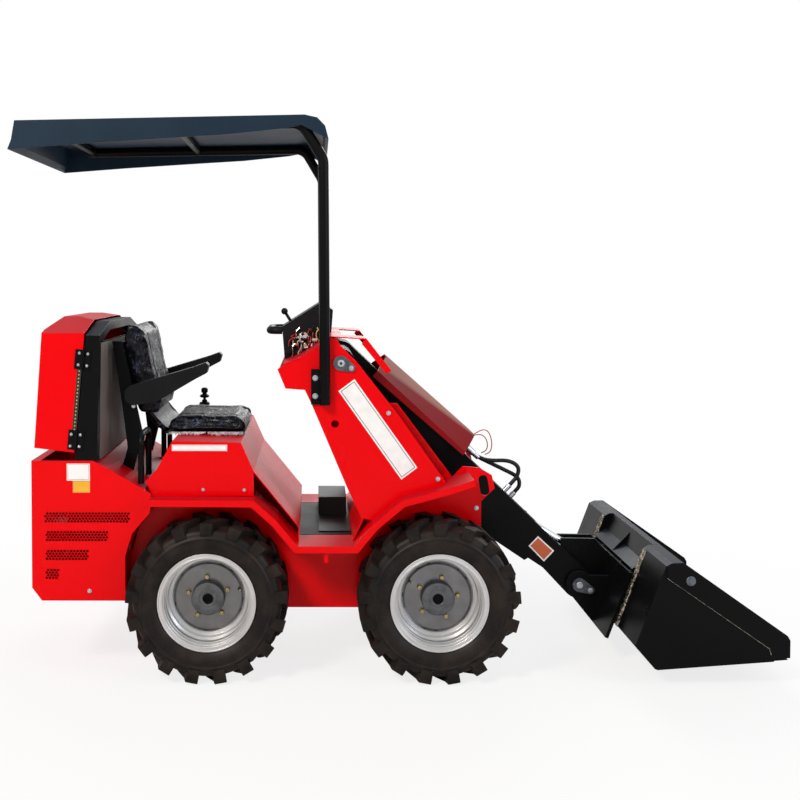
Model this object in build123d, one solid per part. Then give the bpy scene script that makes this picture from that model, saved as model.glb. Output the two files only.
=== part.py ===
# Ride-on skid steer loader with a single radial lift arm, quick coupler and bucket.
# Millimetres.  +X is forward, +Y is the machine's left, +Z is up.
# Profiles are drawn with X = 0 at the rear axle and Z = 0 on the ground; export moves
# the machine along X so that the origin lies under the middle of its length.

from build123d import *
from math import asin, atan2, cos, degrees, hypot, radians, sin
import os

# ---------------------------------------------------------------- driving dimensions

wheel_base = 815.0
tyre_radius = 285.0
tyre_width = 216.0
tyre_side_gap = 12.0
tyre_wall = 14.0
crown_wall = 30.0
rim_radius = 152.0
rim_flange_height = 20.0
rim_side_inset = 16.0
rim_wall = 5.0
disc_inset = 96.0
disc_wall = 8.0
hub_cap_radius = 57.0
hub_cap_depth = 30.0
cap_bore = 19.0
bead_height = 8.0
axle_radius = 24.0
axle_clearance = 0.05
axle_reach = 20.0
axle_boss_step = 30.0
motor_radius = 62.0
seat_gap = 0.3

frame_half_width = 292.0
frame_wall = 8.0
belly_z = 207.0
belly_wall = 6.0

body_half_width = 395.0
tower_wall = 6.0
sheet_wall = 4.0
sill_overhang = 75.0
sill_wall = 5.0
sill_lip = 24.0
sill_z = 476.0
fender_z = 638.0
fender_clearance = 68.0
arch_gap = 13.0
bay_overhang = 25.0
bay_top_z = 770.0
console_z_high = 837.0
console_front_x = 322.0

canopy_overhang = 23.7
canopy_wall = 6.0
canopy_length = 1128.0
canopy_top_z = 1994.0
post_radius = 19.0
post_setback = 401.0

boom_pivot_setback = 344.0
boom_pivot_z = 1117.0
coupler_pin_z = 241.65
boom_length = 1274.0
boom_half_width = 90.0
boom_side_wall = 10.0
boom_plate_wall = 8.0
lift_eye_half_width = 25.0
tilt_eye_half_width = 22.0
boom_hub_radius = 64.0
boom_end_radius = 58.0
pivot_pin_radius = 20.0
pin_clearance = 0.05
hub_side_gap = 6.0

lift_eye_along = 210.0
lift_eye_normal = -100.0
lift_base_setback = 125.0
lift_base_z = 300.0
lift_barrel_radius = 37.0
lift_rod_radius = 20.0

tilt_arm = 110.0
tilt_arm_angle = 42.5
tilt_base_back = 634.0
tilt_base_normal = -35.0
tilt_barrel_radius = 31.0
tilt_rod_radius = 16.0
rod_gap = 0.3
cylinder_pin_radius = 12.0
cylinder_lug_gap = 4.0

ear_gap = 5.0
ear_wall = 15.0
mount_half_width = 305.0
mount_wall = 12.0

bucket_half_width = 540.0
bucket_side_wall = 8.0
bucket_wall = 6.0
strip_wall = 5.0
bucket_reach = 631.34

hood_gap = 5.0
hood_wall = 3.0
hinge_radius = 6.0

# sizes that follow from those above
tyre_centre_y = frame_half_width + tyre_side_gap + tyre_width / 2
rim_half_width = tyre_width / 2 - rim_side_inset
rim_flange_radius = rim_radius + rim_flange_height
axle_z = fender_z - fender_clearance - tyre_radius
arch_radius = tyre_radius + arch_gap
sill_outer_y = body_half_width + sill_overhang
bay_half_width = body_half_width + bay_overhang
post_x = wheel_base - post_setback
post_y = body_half_width + post_radius + seat_gap
canopy_half_width = post_y + canopy_overhang
canopy_front_x = post_x + 11
canopy_rear_x = canopy_front_x - canopy_length
boom_pivot_x = wheel_base - boom_pivot_setback
boom_angle = -degrees(asin((boom_pivot_z - coupler_pin_z) / boom_length))
lift_base_x = wheel_base - lift_base_setback
tilt_base_along = boom_length - tilt_base_back

# ---------------------------------------------------------------- drawing helpers

boom_cos = cos(radians(boom_angle))
boom_sin = sin(radians(boom_angle))
boom_plane = Plane(origin=(boom_pivot_x, 0, boom_pivot_z), x_dir=(boom_cos, 0, boom_sin), z_dir=(0, -1, 0))


def ahead(points):
    # points given from the front axle, as points of the drawing
    return [(wheel_base + x, z) for x, z in points]


def on_boom(along, normal):
    # a point given along the boom and square to it, as world (x, z)
    return (boom_pivot_x + along * boom_cos - normal * boom_sin,
            boom_pivot_z + along * boom_sin + normal * boom_cos)


def slab(shape, y_low, y_high, plane=Plane.XZ):
    # a side-view shape, as a list of corners or a sketch, made solid from y_low to y_high
    if isinstance(shape, list):
        shape = Polygon(*shape, align=None)
    return extrude(plane.offset(-y_high) * shape, amount=y_high - y_low, dir=(0, -1, 0))


def both_sides(solid):
    return solid + mirror(solid, about=Plane.XZ)


def offset_path(path, distance):
    # the open polyline moved to its left by distance, with mitred corners
    moved = []
    for index, (x, z) in enumerate(path):
        ends = []
        if index > 0:
            ends.append((path[index - 1], path[index]))
        if index < len(path) - 1:
            ends.append((path[index], path[index + 1]))
        normals = []
        for (ax, az), (bx, bz) in ends:
            run = hypot(bx - ax, bz - az)
            normals.append((-(bz - az) / run, (bx - ax) / run))
        nx = sum(n[0] for n in normals) / len(normals)
        nz = sum(n[1] for n in normals) / len(normals)
        scale = distance / (nx * nx + nz * nz)
        moved.append((x + nx * scale, z + nz * scale))
    return moved


def bent_sheet(path, wall, y_low, y_high, plane=Plane.XZ):
    # a folded sheet: the path is one face, the other lies on its left for a positive wall
    return slab(path + offset_path(path, wall)[::-1], y_low, y_high, plane)


def section_bar(profile, x_low, x_high):
    # a front-view shape, as (y, z) corners, made solid from x_low to x_high
    return extrude(Plane.YZ.offset(x_low) * Polygon(*profile, align=None), amount=x_high - x_low, dir=(1, 0, 0))


def cross_rod(x, z, radius, y_low, y_high):
    return Pos(x, (y_low + y_high) / 2, z) * Rot(90, 0, 0) * Cylinder(radius, y_high - y_low)


def block(x_low, x_high, y_low, y_high, z_low, z_high):
    size = (x_high - x_low, y_high - y_low, z_high - z_low)
    centre = ((x_low + x_high) / 2, (y_low + y_high) / 2, (z_low + z_high) / 2)
    return Pos(*centre) * Box(*size)


def round_tube(points, radius, bend):
    path = FilletPolyline(*points, radius=bend)
    return sweep(path.location_at(0) * Circle(radius), path=path)


def straight_rod(start, end, radius):
    path = Line(start, end)
    return extrude(path.location_at(0) * Circle(radius), amount=path.length)


# ---------------------------------------------------------------- chassis

# side view of one inner frame plate, with the wheel arches, the tie-down ear and the
# guard that rises beside the boom
guard_top_z = boom_pivot_z - 155
frame_front = ahead([
    (115, belly_z), (175, 290), (175, 601), (224, 649), (214, 697), (167, 725), (106, 730), (69, 690),
    (-135, guard_top_z), (-195, guard_top_z), (-259, 700), (-259, sill_z + 77), (-288, sill_z - 6)])
frame_rear = [
    (318, sill_z - 6), (244, sill_z + 84), (163, fender_z - 6), (-arch_radius + 97, fender_z - 4),
    (-arch_radius + 93, axle_z + 300), (-arch_radius + 30, axle_z + 225), (-arch_radius + 8, axle_z + 145),
    (-arch_radius - 22, 330), (-588, 330), (-588, 272), (-arch_radius, 272), (-arch_radius + 48, belly_z)]
guard_path = ahead([(-135, guard_top_z), (53, 711)])
guard_flange = 26.0
# the slot in each tie-down ear, placed from the front axle
ear_slot = {"ahead": 185.0, "z": 660.0, "length": 76.0, "width": 34.0, "turn": 100.0}

# the sill runs over the rear tyre, along the footwell and over the front tyre
sill_path = [(-arch_radius + 94, fender_z + 2), (163, fender_z), (244, sill_z + 90), (318, sill_z)] + ahead([
    (-296, sill_z), (-233, sill_z + 77), (-132, fender_z), (37, fender_z + 46), (123, fender_z + 74)])


def chassis_frame():
    slot = Pos(wheel_base + ear_slot["ahead"], ear_slot["z"]) * Rot(0, 0, ear_slot["turn"]) * SlotOverall(
        ear_slot["length"], ear_slot["width"])
    plate = slab(Polygon(*frame_rear, *frame_front, align=None) - slot, frame_half_width - frame_wall, frame_half_width)
    plate += bent_sheet(guard_path, -sheet_wall, frame_half_width, frame_half_width + guard_flange)
    frame = both_sides(plate)
    inner = frame_half_width - frame_wall
    belly = [(-arch_radius + 8, belly_z + 55), (-arch_radius + 48, belly_z)]
    belly += ahead([(115, belly_z), (175, 290), (175, 380)])
    frame += bent_sheet(belly, belly_wall, -inner, inner)
    lug_inner = lift_barrel_radius + cylinder_lug_gap
    lug = [(lift_base_x - 70, belly_z + belly_wall), (lift_base_x + 70, belly_z + belly_wall),
           (lift_base_x + 34, lift_base_z + 34), (lift_base_x - 34, lift_base_z + 34)]
    frame += both_sides(slab(lug, lug_inner, lug_inner + frame_wall))
    frame -= cross_rod(lift_base_x, lift_base_z, cylinder_pin_radius + seat_gap, -100, 100)
    bracket_x = (318 + wheel_base - 296) / 2
    frame += both_sides(block(bracket_x - 7, bracket_x + 7, frame_half_width, sill_outer_y - 10, sill_z - 60,
                              sill_z - sill_wall))
    return frame


def fenders():
    strip = bent_sheet(sill_path, -sill_wall, frame_half_width, sill_outer_y)
    strip += bent_sheet(sill_path, -sill_lip, sill_outer_y - sill_wall, sill_outer_y)
    return both_sides(strip)


def floor_plate():
    inner = frame_half_width - frame_wall
    return block(318, wheel_base - 296, -inner, inner, sill_z - 6, sill_z)


mat_wall = 4.0
rest_height = 72.0


def foot_rest():
    left = frame_half_width - 10
    front = wheel_base - 303
    rear = console_front_x + 0.37 * (front - console_front_x)
    mat = block(rear, front, 37 - left, left, sill_z, sill_z + mat_wall)
    return mat + block(rear, front - 9, 47, left, sill_z + mat_wall, sill_z + rest_height)


# ---------------------------------------------------------------- tower

def tower_top(points):
    # points given from the boom's pivot, as points of the drawing
    return [(boom_pivot_x + x, boom_pivot_z + z) for x, z in points]


tower_chin = tower_top([(-105, -146), (-129, -96), (-198, -91)])
tower_knee = ahead([(-315, sill_z + 180), (-267, sill_z + 77)])
tower_outline = tower_top([(-227, -22)]) + tower_chin[::-1] + ahead([
    (-315, sill_z + 180), (-265, sill_z + 82), (-233, sill_z + 77), (-132, fender_z), (37, fender_z + 46)])
tower_outline += tower_top([(207, -187), (56, 5), (-2, 64), (-16, 88), (-36, 91), (-73, 64), (-146, 16), (-208, -8)])
tower_hole = {"drop": 218.0, "inset": 53.4, "radius": 13.5}
shield_path = ahead([(-301, sill_z + 2)]) + tower_knee[::-1] + tower_chin + tower_top([(-223, -25)])
hood_path = tower_top([(-208, -4), (-146, 20), (-73, 68), (-35, 96), (91, 88)])
hood_strip_path = tower_top([(91, 88), (181, -27)])
hood_strip_width = 64.0
cowl_half_width = 205.0
cowl_side_gap = 11.0


def tower_edge_x(z):
    # x of the tower's sloped rear edge at height z
    low, high = tower_knee[0], tower_chin[0]
    return low[0] + (high[0] - low[0]) * (z - low[1]) / (high[1] - low[1])


def tower_sides():
    hole_z = boom_pivot_z - tower_hole["drop"]
    holes = Pos(tower_edge_x(hole_z) + tower_hole["inset"], hole_z) * Circle(tower_hole["radius"])
    holes += Pos(boom_pivot_x, boom_pivot_z) * Circle(pivot_pin_radius + seat_gap)
    plate = slab(Polygon(*tower_outline, align=None) - holes, body_half_width - tower_wall, body_half_width)
    return both_sides(plate)


def tower_shield():
    inner = body_half_width - tower_wall
    return bent_sheet(shield_path, -sheet_wall, -inner, inner)


def tower_hood():
    inner = body_half_width - tower_wall
    hood = bent_sheet(hood_path, -sheet_wall, -inner, inner)
    notch = cowl_half_width + cowl_side_gap
    hood -= block(boom_pivot_x + 5, boom_pivot_x + 229, -notch, notch, boom_pivot_z + 33, boom_pivot_z + 133)
    strip = bent_sheet(hood_strip_path, -sheet_wall, inner - hood_strip_width, inner)
    side = tower_top([(87, 87), (181, -27), (163, -39), (74, 69)])
    strip += slab(side, inner - sheet_wall, inner)
    return hood + both_sides(strip)


dash_half_width = 150.0
dash_face = tower_top([(-218, 119), (-70, 213)])
dash_back = tower_top([(-25, 183), (-31, 99)])
dash_pitch = atan2(dash_face[1][1] - dash_face[0][1], dash_face[1][0] - dash_face[0][0])


def on_dash(along, normal):
    x = dash_face[0][0] + along * cos(dash_pitch) - normal * sin(dash_pitch)
    z = dash_face[0][1] + along * sin(dash_pitch) + normal * cos(dash_pitch)
    return (x, z)


def dash_console():
    deck = offset_path(hood_path[:4], seat_gap)
    return slab(dash_face + dash_back + deck[::-1], -dash_half_width, dash_half_width)


grip_radius = 15.0
knob_length = 26.0


def dash_controls():
    bar_z = dash_face[0][1] - grip_radius
    bar_foot = dash_face[0][0] - 0.5
    bar_x = bar_foot - 46.5
    grip = round_tube([(bar_foot, -110, bar_z), (bar_x, -110, bar_z), (bar_x, 110, bar_z), (bar_foot, 110, bar_z)],
                      grip_radius, 34)
    foot_x, foot_z = on_dash(36, seat_gap)
    lever_plane = Plane(origin=(foot_x, -60, foot_z), z_dir=(-sin(dash_pitch), 0, cos(dash_pitch)))
    lever = lever_plane * (Pos(0, 0, 22) * Cylinder(6, 44) + Pos(0, 0, 44) * Sphere(13))
    knob_x, knob_z = tower_top([(-196, 33)])[0]
    knob = cross_rod(knob_x, knob_z, 14, -dash_half_width - knob_length, -dash_half_width - seat_gap)
    return grip + lever + knob


# ---------------------------------------------------------------- seat and console

console_rise = [(-188, console_z_high - 101), (-133, console_z_high), (113, console_z_high - 5),
                (159, console_z_high - 108)]
console_side = console_rise + [(159, fender_z + 2), (-204, fender_z + 2), (-229, fender_z + 53)]
console_top = console_rise + [(console_front_x, sill_z + 53), (console_front_x, sill_z)]


def seat_console():
    shell = bent_sheet(console_top, -sheet_wall, -body_half_width, body_half_width)
    shell += both_sides(slab(console_side, body_half_width - sheet_wall, body_half_width))
    return shell


deck_slope = 91.0 / 160.0


def deck_z(x):
    # height of the sloped deck behind the seat
    return bay_top_z - (x + 410) * deck_slope


def console_z(x):
    # height of the seat console's top
    return console_z_high - (x + 133) * (5.0 / 246.0)


pan_wall = 6.0
seat_half_width = 228.0
seat_post_wall = 8.0
seat_post_y = seat_half_width + 8
armrest_y = seat_post_y + seat_post_wall + 6
armrest_width = 56.0


def above_seat(points):
    # points given from the height of the console's top, as points of the drawing
    return [(x, console_z_high + z) for x, z in points]


def seat_layer(x_low, x_high, gap, height):
    return [(x_low, console_z(x_low) + gap), (x_high, console_z(x_high) + gap),
            (x_high, console_z(x_high) + gap + height), (x_low, console_z(x_low) + gap + height)]


def seat_frame():
    pan = slab(seat_layer(-186, 112, seat_gap, pan_wall), -205, 205)
    foot = [(-336, deck_z(-336) + seat_gap), (-296, deck_z(-296) + seat_gap)]
    rise = above_seat([(-278, -57), (-262, 9), (-300, 183), (-338, 349), (-374, 349), (-346, 173), (-318, -47)])
    post = slab(foot + rise, seat_post_y, seat_post_y + seat_post_wall)
    cross = block(-372, -340.6, -seat_post_y, seat_post_y, console_z_high + 313, console_z_high + 343)
    return pan + both_sides(post) + cross


def seat_cushion():
    body = slab(seat_layer(-180, 128, pan_wall + 2 * seat_gap, 58), -seat_half_width, seat_half_width)
    return fillet(body.edges(), 22)


def seat_back():
    outline = above_seat([(-187, 63), (-233, 237), (-259, 368), (-277, 416), (-322, 416), (-345, 368),
                          (-320, 237), (-272, 63)])
    body = slab(outline, -seat_half_width + 2, seat_half_width - 2)
    return fillet(body.edges(), 16)


armrest_pivot = (-300.0, console_z_high + 153)
armrest_outline = above_seat([
    (-318, 173), (-301, 188), (-67, 258), (-20, 275), (-10, 263), (-18, 236), (-58, 215), (-203, 130), (-293, 117),
    (-318, 135)])
armrest_pin_radius = 8.0
armrest_stop_radius = 7.0


def armrest(side):
    body = slab(armrest_outline, armrest_y, armrest_y + armrest_width)
    body = fillet(body.edges().filter_by(Axis.Y), 6)
    body -= cross_rod(*armrest_pivot, armrest_pin_radius + pin_clearance, armrest_y - 10, armrest_y + 40)
    return body if side > 0 else mirror(body, about=Plane.XZ)


def armrest_pins():
    outer = seat_post_y + seat_post_wall
    pin = cross_rod(*armrest_pivot, armrest_pin_radius, outer, armrest_y + 39)
    stop_z = console_z_high + 117 - armrest_stop_radius - seat_gap
    stop = cross_rod(-293, stop_z, armrest_stop_radius, outer, armrest_y + 12)
    return both_sides(pin + stop)


hoop_radius = 11.0


def grab_hoops():
    x = -246
    low = deck_z(x - hoop_radius) + seat_gap
    high = console_z_high + 20
    inner = bay_half_width - 215
    outer = bay_half_width - 35
    hoop = round_tube([(x, inner, low), (x, inner, high), (x, outer, high), (x, outer, low)], hoop_radius, 40)
    return both_sides(hoop)


def joystick():
    x, y = -87, seat_half_width + 67
    foot = console_z(x - 33) + seat_gap
    base = block(x - 33, x + 33, y - 33, y + 33, foot, foot + 13)
    # turned parts one above the other: centre height, lower and upper radius, height
    stack = [(25, 28, 16, 24), (61, 6, 6, 48), (68, 11, 11, 8), (91, 13, 13, 8), (104, 9, 9, 38)]
    for height, low_radius, high_radius, length in stack:
        shape = Cylinder(low_radius, length) if low_radius == high_radius else Cone(low_radius, high_radius, length)
        base += Pos(x, y, foot + height) * shape
    return base


# ---------------------------------------------------------------- engine bay and hood

bay_floor_z = 268.0
bay_rear_x = -631.0
arch_path = [
    (-arch_radius, bay_floor_z), (-arch_radius, axle_z + 145), (-arch_radius + 25, axle_z + 225),
    (-arch_radius + 89, axle_z + 300), (-arch_radius + 92, fender_z + 2)]
bay_outline = [
    (bay_rear_x, bay_top_z), (-410, bay_top_z), (-206, bay_top_z - 116)] + arch_path[::-1] + [
    (bay_rear_x + 35, bay_floor_z), (bay_rear_x, bay_floor_z + 47)]
bay_back_path = [arch_path[0], (bay_rear_x + 35, bay_floor_z), (bay_rear_x, bay_floor_z + 47), (bay_rear_x, bay_top_z)]
deck_path = [(-410, bay_top_z), (-229, deck_z(-229))]
# the rows of vents: lowest height, height, and distance of the front end from the wheel arch
vent_rear_x = bay_rear_x + 43
vent_rows = [
    {"low": 546.0, "height": 42.0, "margin": 37.0}, {"low": 480.0, "height": 40.0, "margin": 70.0},
    {"low": 412.0, "height": 40.0, "margin": 125.0}, {"low": 344.0, "height": 40.0, "margin": 231.0}]
screen_lap = 8.0
screen_wall = 2.0


def arch_x(z):
    # x of the rear wheel arch's edge at height z
    for (low_x, low_z), (high_x, high_z) in zip(arch_path, arch_path[1:]):
        if z <= high_z:
            return low_x + (high_x - low_x) * (z - low_z) / (high_z - low_z)
    return arch_path[-1][0]


def vent_windows(lap, y_low, y_high):
    windows = None
    for row in vent_rows:
        z = row["low"]
        window = block(vent_rear_x - lap, arch_x(z) - row["margin"] + lap, y_low, y_high, z - lap,
                       z + row["height"] + lap)
        windows = window if windows is None else windows + window
    return windows


def engine_bay():
    inner = bay_half_width - sheet_wall
    side = slab(bay_outline, inner, bay_half_width) - vent_windows(0, inner - 1, bay_half_width + 1)
    side += bent_sheet(arch_path, sheet_wall, frame_half_width, inner)
    bay = both_sides(side)
    bay += bent_sheet(bay_back_path, -sheet_wall, -inner, inner)
    bay += bent_sheet(deck_path, -sheet_wall, -inner, inner)
    bay += block(bay_rear_x + sheet_wall, bay_rear_x + 31, -inner, inner, bay_top_z - sheet_wall, bay_top_z)
    return bay


def vent_screens():
    outer = bay_half_width - sheet_wall
    return both_sides(vent_windows(screen_lap, outer - screen_wall, outer))


def engine():
    front = -arch_radius - 32
    body = block(bay_rear_x + 71, front, -190, 190, bay_floor_z + sheet_wall + seat_gap, bay_top_z - 80)
    return fillet(body.edges().filter_by(Axis.Z), 20)


hood_low_z = bay_top_z + 29
hood_height = 488.0
hood_top_z = hood_low_z + hood_height
hood_side_z = hood_top_z - 62
pillar_top_z = hood_top_z - 97
pillar_width = 40.0
pillar_inner_y = bay_half_width - pillar_width


def hood_front(z):
    # x of the hood's sloped front edge at height z
    return -478 + (z - hood_low_z) * (42.0 / (hood_height - 21))


def hood_pillars():
    post = [(hood_front(bay_top_z) + hood_gap, bay_top_z), (hood_front(pillar_top_z) + hood_gap, pillar_top_z),
            (-388, pillar_top_z), (-396, bay_top_z)]
    return both_sides(slab(post, pillar_inner_y, bay_half_width))


def hood_crossbar():
    outer = [(bay_half_width, pillar_top_z), (bay_half_width, pillar_top_z + 26), (225, pillar_top_z + 70)]
    inner = [(215, pillar_top_z + 38), (pillar_inner_y, pillar_top_z)]
    half = inner + outer
    profile = half + [(-y, z) for y, z in half[::-1]]
    x_low = hood_front(hood_side_z) + hood_gap
    return section_bar(profile, x_low, -386)


def firewall():
    return block(-396, -396 + sheet_wall, -pillar_inner_y, pillar_inner_y, bay_top_z, pillar_top_z - 4)


def hood_screen():
    setback = hood_gap + 30
    low, high = bay_top_z + 12, pillar_top_z - 2
    sheet = [(hood_front(low) + setback, low), (hood_front(high) + setback, high)]
    return slab(sheet + [(x + screen_wall, z) for x, z in sheet[::-1]], -pillar_inner_y, pillar_inner_y)


hood_outline = [(hood_front(hood_low_z), hood_low_z), (hood_front(hood_top_z - 21), hood_top_z - 21),
                (-547, hood_top_z), (-591, hood_top_z - 51), (bay_rear_x + 11, hood_low_z + 17)]


def engine_hood():
    def shape(inset, outline):
        half = bay_half_width - inset
        side_z = hood_side_z - inset
        roof = [(-half, bay_top_z), (half, bay_top_z), (half, side_z), (225, hood_top_z - 9 - inset),
                (-225, hood_top_z - 9 - inset), (-half, side_z)]
        return slab(outline, -half, half) & section_bar(roof, bay_rear_x - 10, bay_rear_x + 300)

    wall = hood_wall
    (front_low_x, low_z), (front_high_x, high_z), (peak_x, peak_z), (brow_x, brow_z), (rear_x, rear_z) = hood_outline
    core = [(front_low_x + 20, low_z + wall), (front_high_x + 20, high_z - wall), (peak_x + 1.5, peak_z - 1.4 * wall),
            (brow_x + wall, brow_z - 0.4 * wall), (rear_x + wall, rear_z + wall)]
    return shape(0, hood_outline) - shape(wall, core)


# the two butt hinges stand on the right side, on the sloped gap between hood and pillar
hinge_heights = (hood_low_z + 46, hood_top_z - 156)
hinge_leaf = {"height": 70.0, "width": 28.0, "wall": 3.0}
knuckle_gap = 0.4
hinge_lean = degrees(atan2(hood_front(1000) - hood_front(0), 1000))


def hinge_part(moving):
    # knuckles of the door's leaf lie at both ends, those of the pillar's leaf in the middle
    half = hinge_leaf["height"] / 2
    third = half / 3
    gap = knuckle_gap
    spans = ((-half, -third - gap), (third + gap, half)) if moving else ((-third, third),)
    side = -1 if moving else 1
    leaf_x = sorted((side * (hinge_radius + gap), side * hinge_leaf["width"]))
    leaf = block(leaf_x[0], leaf_x[1], hinge_radius - hinge_leaf["wall"], hinge_radius, -half, half)
    for low, high in spans:
        leaf += Pos(0, 0, (low + high) / 2) * Cylinder(hinge_radius, high - low)
        reach = sorted((0, side * 8))
        leaf += block(reach[0], reach[1], 0, hinge_radius, low, high)
    leaf = Rot(0, hinge_lean, 0) * leaf
    parts = None
    for z in hinge_heights:
        placed = Pos(hood_front(z) + hood_gap / 2, -bay_half_width - hinge_radius - seat_gap, z) * leaf
        parts = placed if parts is None else parts + placed
    return parts


# ---------------------------------------------------------------- canopy

def roof_rear(points):
    return [(canopy_rear_x + x, canopy_top_z + z) for x, z in points]


def roof_front(points):
    return [(canopy_front_x + x, canopy_top_z + z) for x, z in points]


roof_outer = roof_rear([(0, -122), (13, -89), (25, -21)]) + roof_front([
    (-85, 0), (-40, -10), (-12, -39), (0, -85), (-96, -37), (-163, -49), (-355, -69), (-548, -81), (-855, -101)])
roof_inner = roof_rear([(-7, -134), (15, -99), (31, -27)]) + roof_front([
    (-85, -6), (-44, -16), (-17, -42), (-7, -94), (-85, -194)]) + roof_rear([(103, -194)])


def canopy_roof():
    shell = slab(roof_outer, -canopy_half_width, canopy_half_width)
    inner = canopy_half_width - canopy_wall
    return shell - slab(roof_inner, -inner, inner)


def roof_z(x):
    # underside of the roof's top panel
    return canopy_top_z - canopy_wall + (x - canopy_front_x + 85) * 21 / (canopy_length - 116)


post_foot_z = boom_pivot_z - 147


def canopy_posts():
    under = post_radius + seat_gap
    points = [(post_x, post_y, post_foot_z), (post_x - 7, post_y, canopy_top_z - 154)]
    # where the tube runs under the roof: x, and how far it has come in from the post
    for x, drawn_in in ((post_x - 84, 10), (canopy_rear_x + 403, 30), (canopy_rear_x + 113, 30)):
        points.append((x, post_y - drawn_in, roof_z(x) - under))
    post = round_tube(points, post_radius, 60)
    plate = block(post_x - 50, post_x - 6, body_half_width, body_half_width + 8, post_foot_z, post_foot_z + 126)
    return both_sides(post + plate)


def canopy_cross_tubes():
    tubes = None
    for x in (canopy_rear_x + 143, canopy_rear_x + 583):
        tube = cross_rod(x, roof_z(x) - post_radius, 14, -(post_y - 30), post_y - 30)
        tubes = tube if tubes is None else tubes + tube
    return tubes - canopy_posts()


# ---------------------------------------------------------------- boom

def near_end(points):
    # points given back from the coupler pin, as points of the boom's own drawing
    return [(boom_length - back, normal) for back, normal in points]


boom_outline = [(0, boom_hub_radius)] + near_end([
    (0, boom_end_radius), (0, -boom_end_radius), (42, -56), (141, -50), (208, -62), (212, -78), (412, -112)]) + [
    (430, -112), (270, -45), (60, -45), (0, -boom_hub_radius)]
boom_core = [(60, boom_hub_radius - boom_plate_wall)] + near_end([
    (162, boom_end_radius - 6), (162, 90), (-126, 90), (-126, -90), (84, -90), (84, -44), (141, -42), (202, -54),
    (218, -69), (412, -104)]) + [(436, -104), (272, -37), (60, -37)]
boom_slot = {"from_back": 390.0, "to_back": 161.0, "half_width": 44.0}


def boom():
    sketch = Polygon(*boom_outline, align=None) + Circle(boom_hub_radius)
    sketch += Pos(boom_length, 0) * Circle(boom_end_radius)
    arm = slab(sketch, -boom_half_width, boom_half_width, boom_plane)
    inner = boom_half_width - boom_side_wall
    arm -= slab(boom_core, -inner, inner, boom_plane)
    hub_half = body_half_width - tower_wall - hub_side_gap
    arm += cross_rod(boom_pivot_x, boom_pivot_z, boom_hub_radius - 14, -hub_half, hub_half)
    arm -= cross_rod(boom_pivot_x, boom_pivot_z, pivot_pin_radius + pin_clearance, -500, 500)
    end_x, end_z = on_boom(boom_length, 0)
    arm -= cross_rod(end_x, end_z, pivot_pin_radius + pin_clearance, -500, 500)
    slot = near_end([(boom_slot["from_back"], 40), (boom_slot["to_back"], 40), (boom_slot["to_back"], 90),
                     (boom_slot["from_back"], 90)])
    arm -= slab(slot, -boom_slot["half_width"], boom_slot["half_width"], boom_plane)
    # lugs for the lift rod below, and for the tilt barrel inside
    lug = [(lift_eye_along - 60, -40), (lift_eye_along + 60, -40), (lift_eye_along + 30, lift_eye_normal - 30),
           (lift_eye_along - 30, lift_eye_normal - 30)]
    arm += both_sides(slab(lug, lift_eye_half_width + 6, lift_eye_half_width + 18, boom_plane))
    base_x, base_z = on_boom(tilt_base_along, tilt_base_normal)
    boss_inner = tilt_barrel_radius + cylinder_lug_gap
    arm += both_sides(cross_rod(base_x, base_z, 30, boss_inner, boom_half_width - 4))
    arm += cross_rod(base_x, base_z, cylinder_pin_radius, -boss_inner, boss_inner)
    return arm


def hexagon_section(half_low, low, half_side, side, half_top, top):
    return [(-half_low, low), (half_low, low), (half_side, side), (half_top, top), (-half_top, top), (-half_side, side)]


cowl_start = 132.0
cowl_end = boom_length - 689
cowl_stations = (
    (cowl_start, (cowl_half_width, 38, cowl_half_width, 66, 60, 128)),
    (cowl_end, (cowl_half_width - 5, 56, cowl_half_width - 8, 72, 100, 142)))


def cowl_top(along):
    # height of the cowl's ridge above the boom's axis
    (first, a), (last, b) = cowl_stations
    return a[5] + (b[5] - a[5]) * (along - first) / (last - first)


def across_boom(along):
    x, z = on_boom(along, 0)
    return Plane(origin=(x, 0, z), x_dir=(0, 1, 0), z_dir=(boom_cos, 0, boom_sin))


def boom_cowl():
    wall = sheet_wall
    outer = []
    inner = []
    for along, (half_low, low, half_side, side, half_top, top) in cowl_stations:
        shape = hexagon_section(half_low, low, half_side, side, half_top, top)
        core = hexagon_section(half_low - wall, low - 30, half_side - wall, side - wall / 2, half_top - wall / 2,
                               top - wall)
        outer.append(across_boom(along) * Polygon(*shape, align=None))
        inner.append(across_boom(along) * Polygon(*core, align=None))
    solid = loft(outer, ruled=True)
    shell = solid - loft(inner, ruled=True)
    front = cowl_end - wall
    shell += solid & slab([(front, 70), (front + 9, 70), (front + 9, 200), (front, 200)], -300, 300, boom_plane)
    for along in (cowl_start + 58, cowl_end - 65):
        rib = [(along, boom_top(along) + seat_gap), (along + wall, boom_top(along) + seat_gap),
               (along + wall, cowl_top(along) - wall / 2), (along, cowl_top(along) - wall / 2)]
        shell += slab(rib, -70, 70, boom_plane)
    return shell


def boom_top(along):
    # height of the boom's top plate above its axis
    return boom_hub_radius + (boom_end_radius - boom_hub_radius) * along / boom_length


hose_radius = 8.0
fitting_radius = 13.0
fitting_reach = 55.0
fitting_ys = (-41.0, -13.0)
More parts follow.
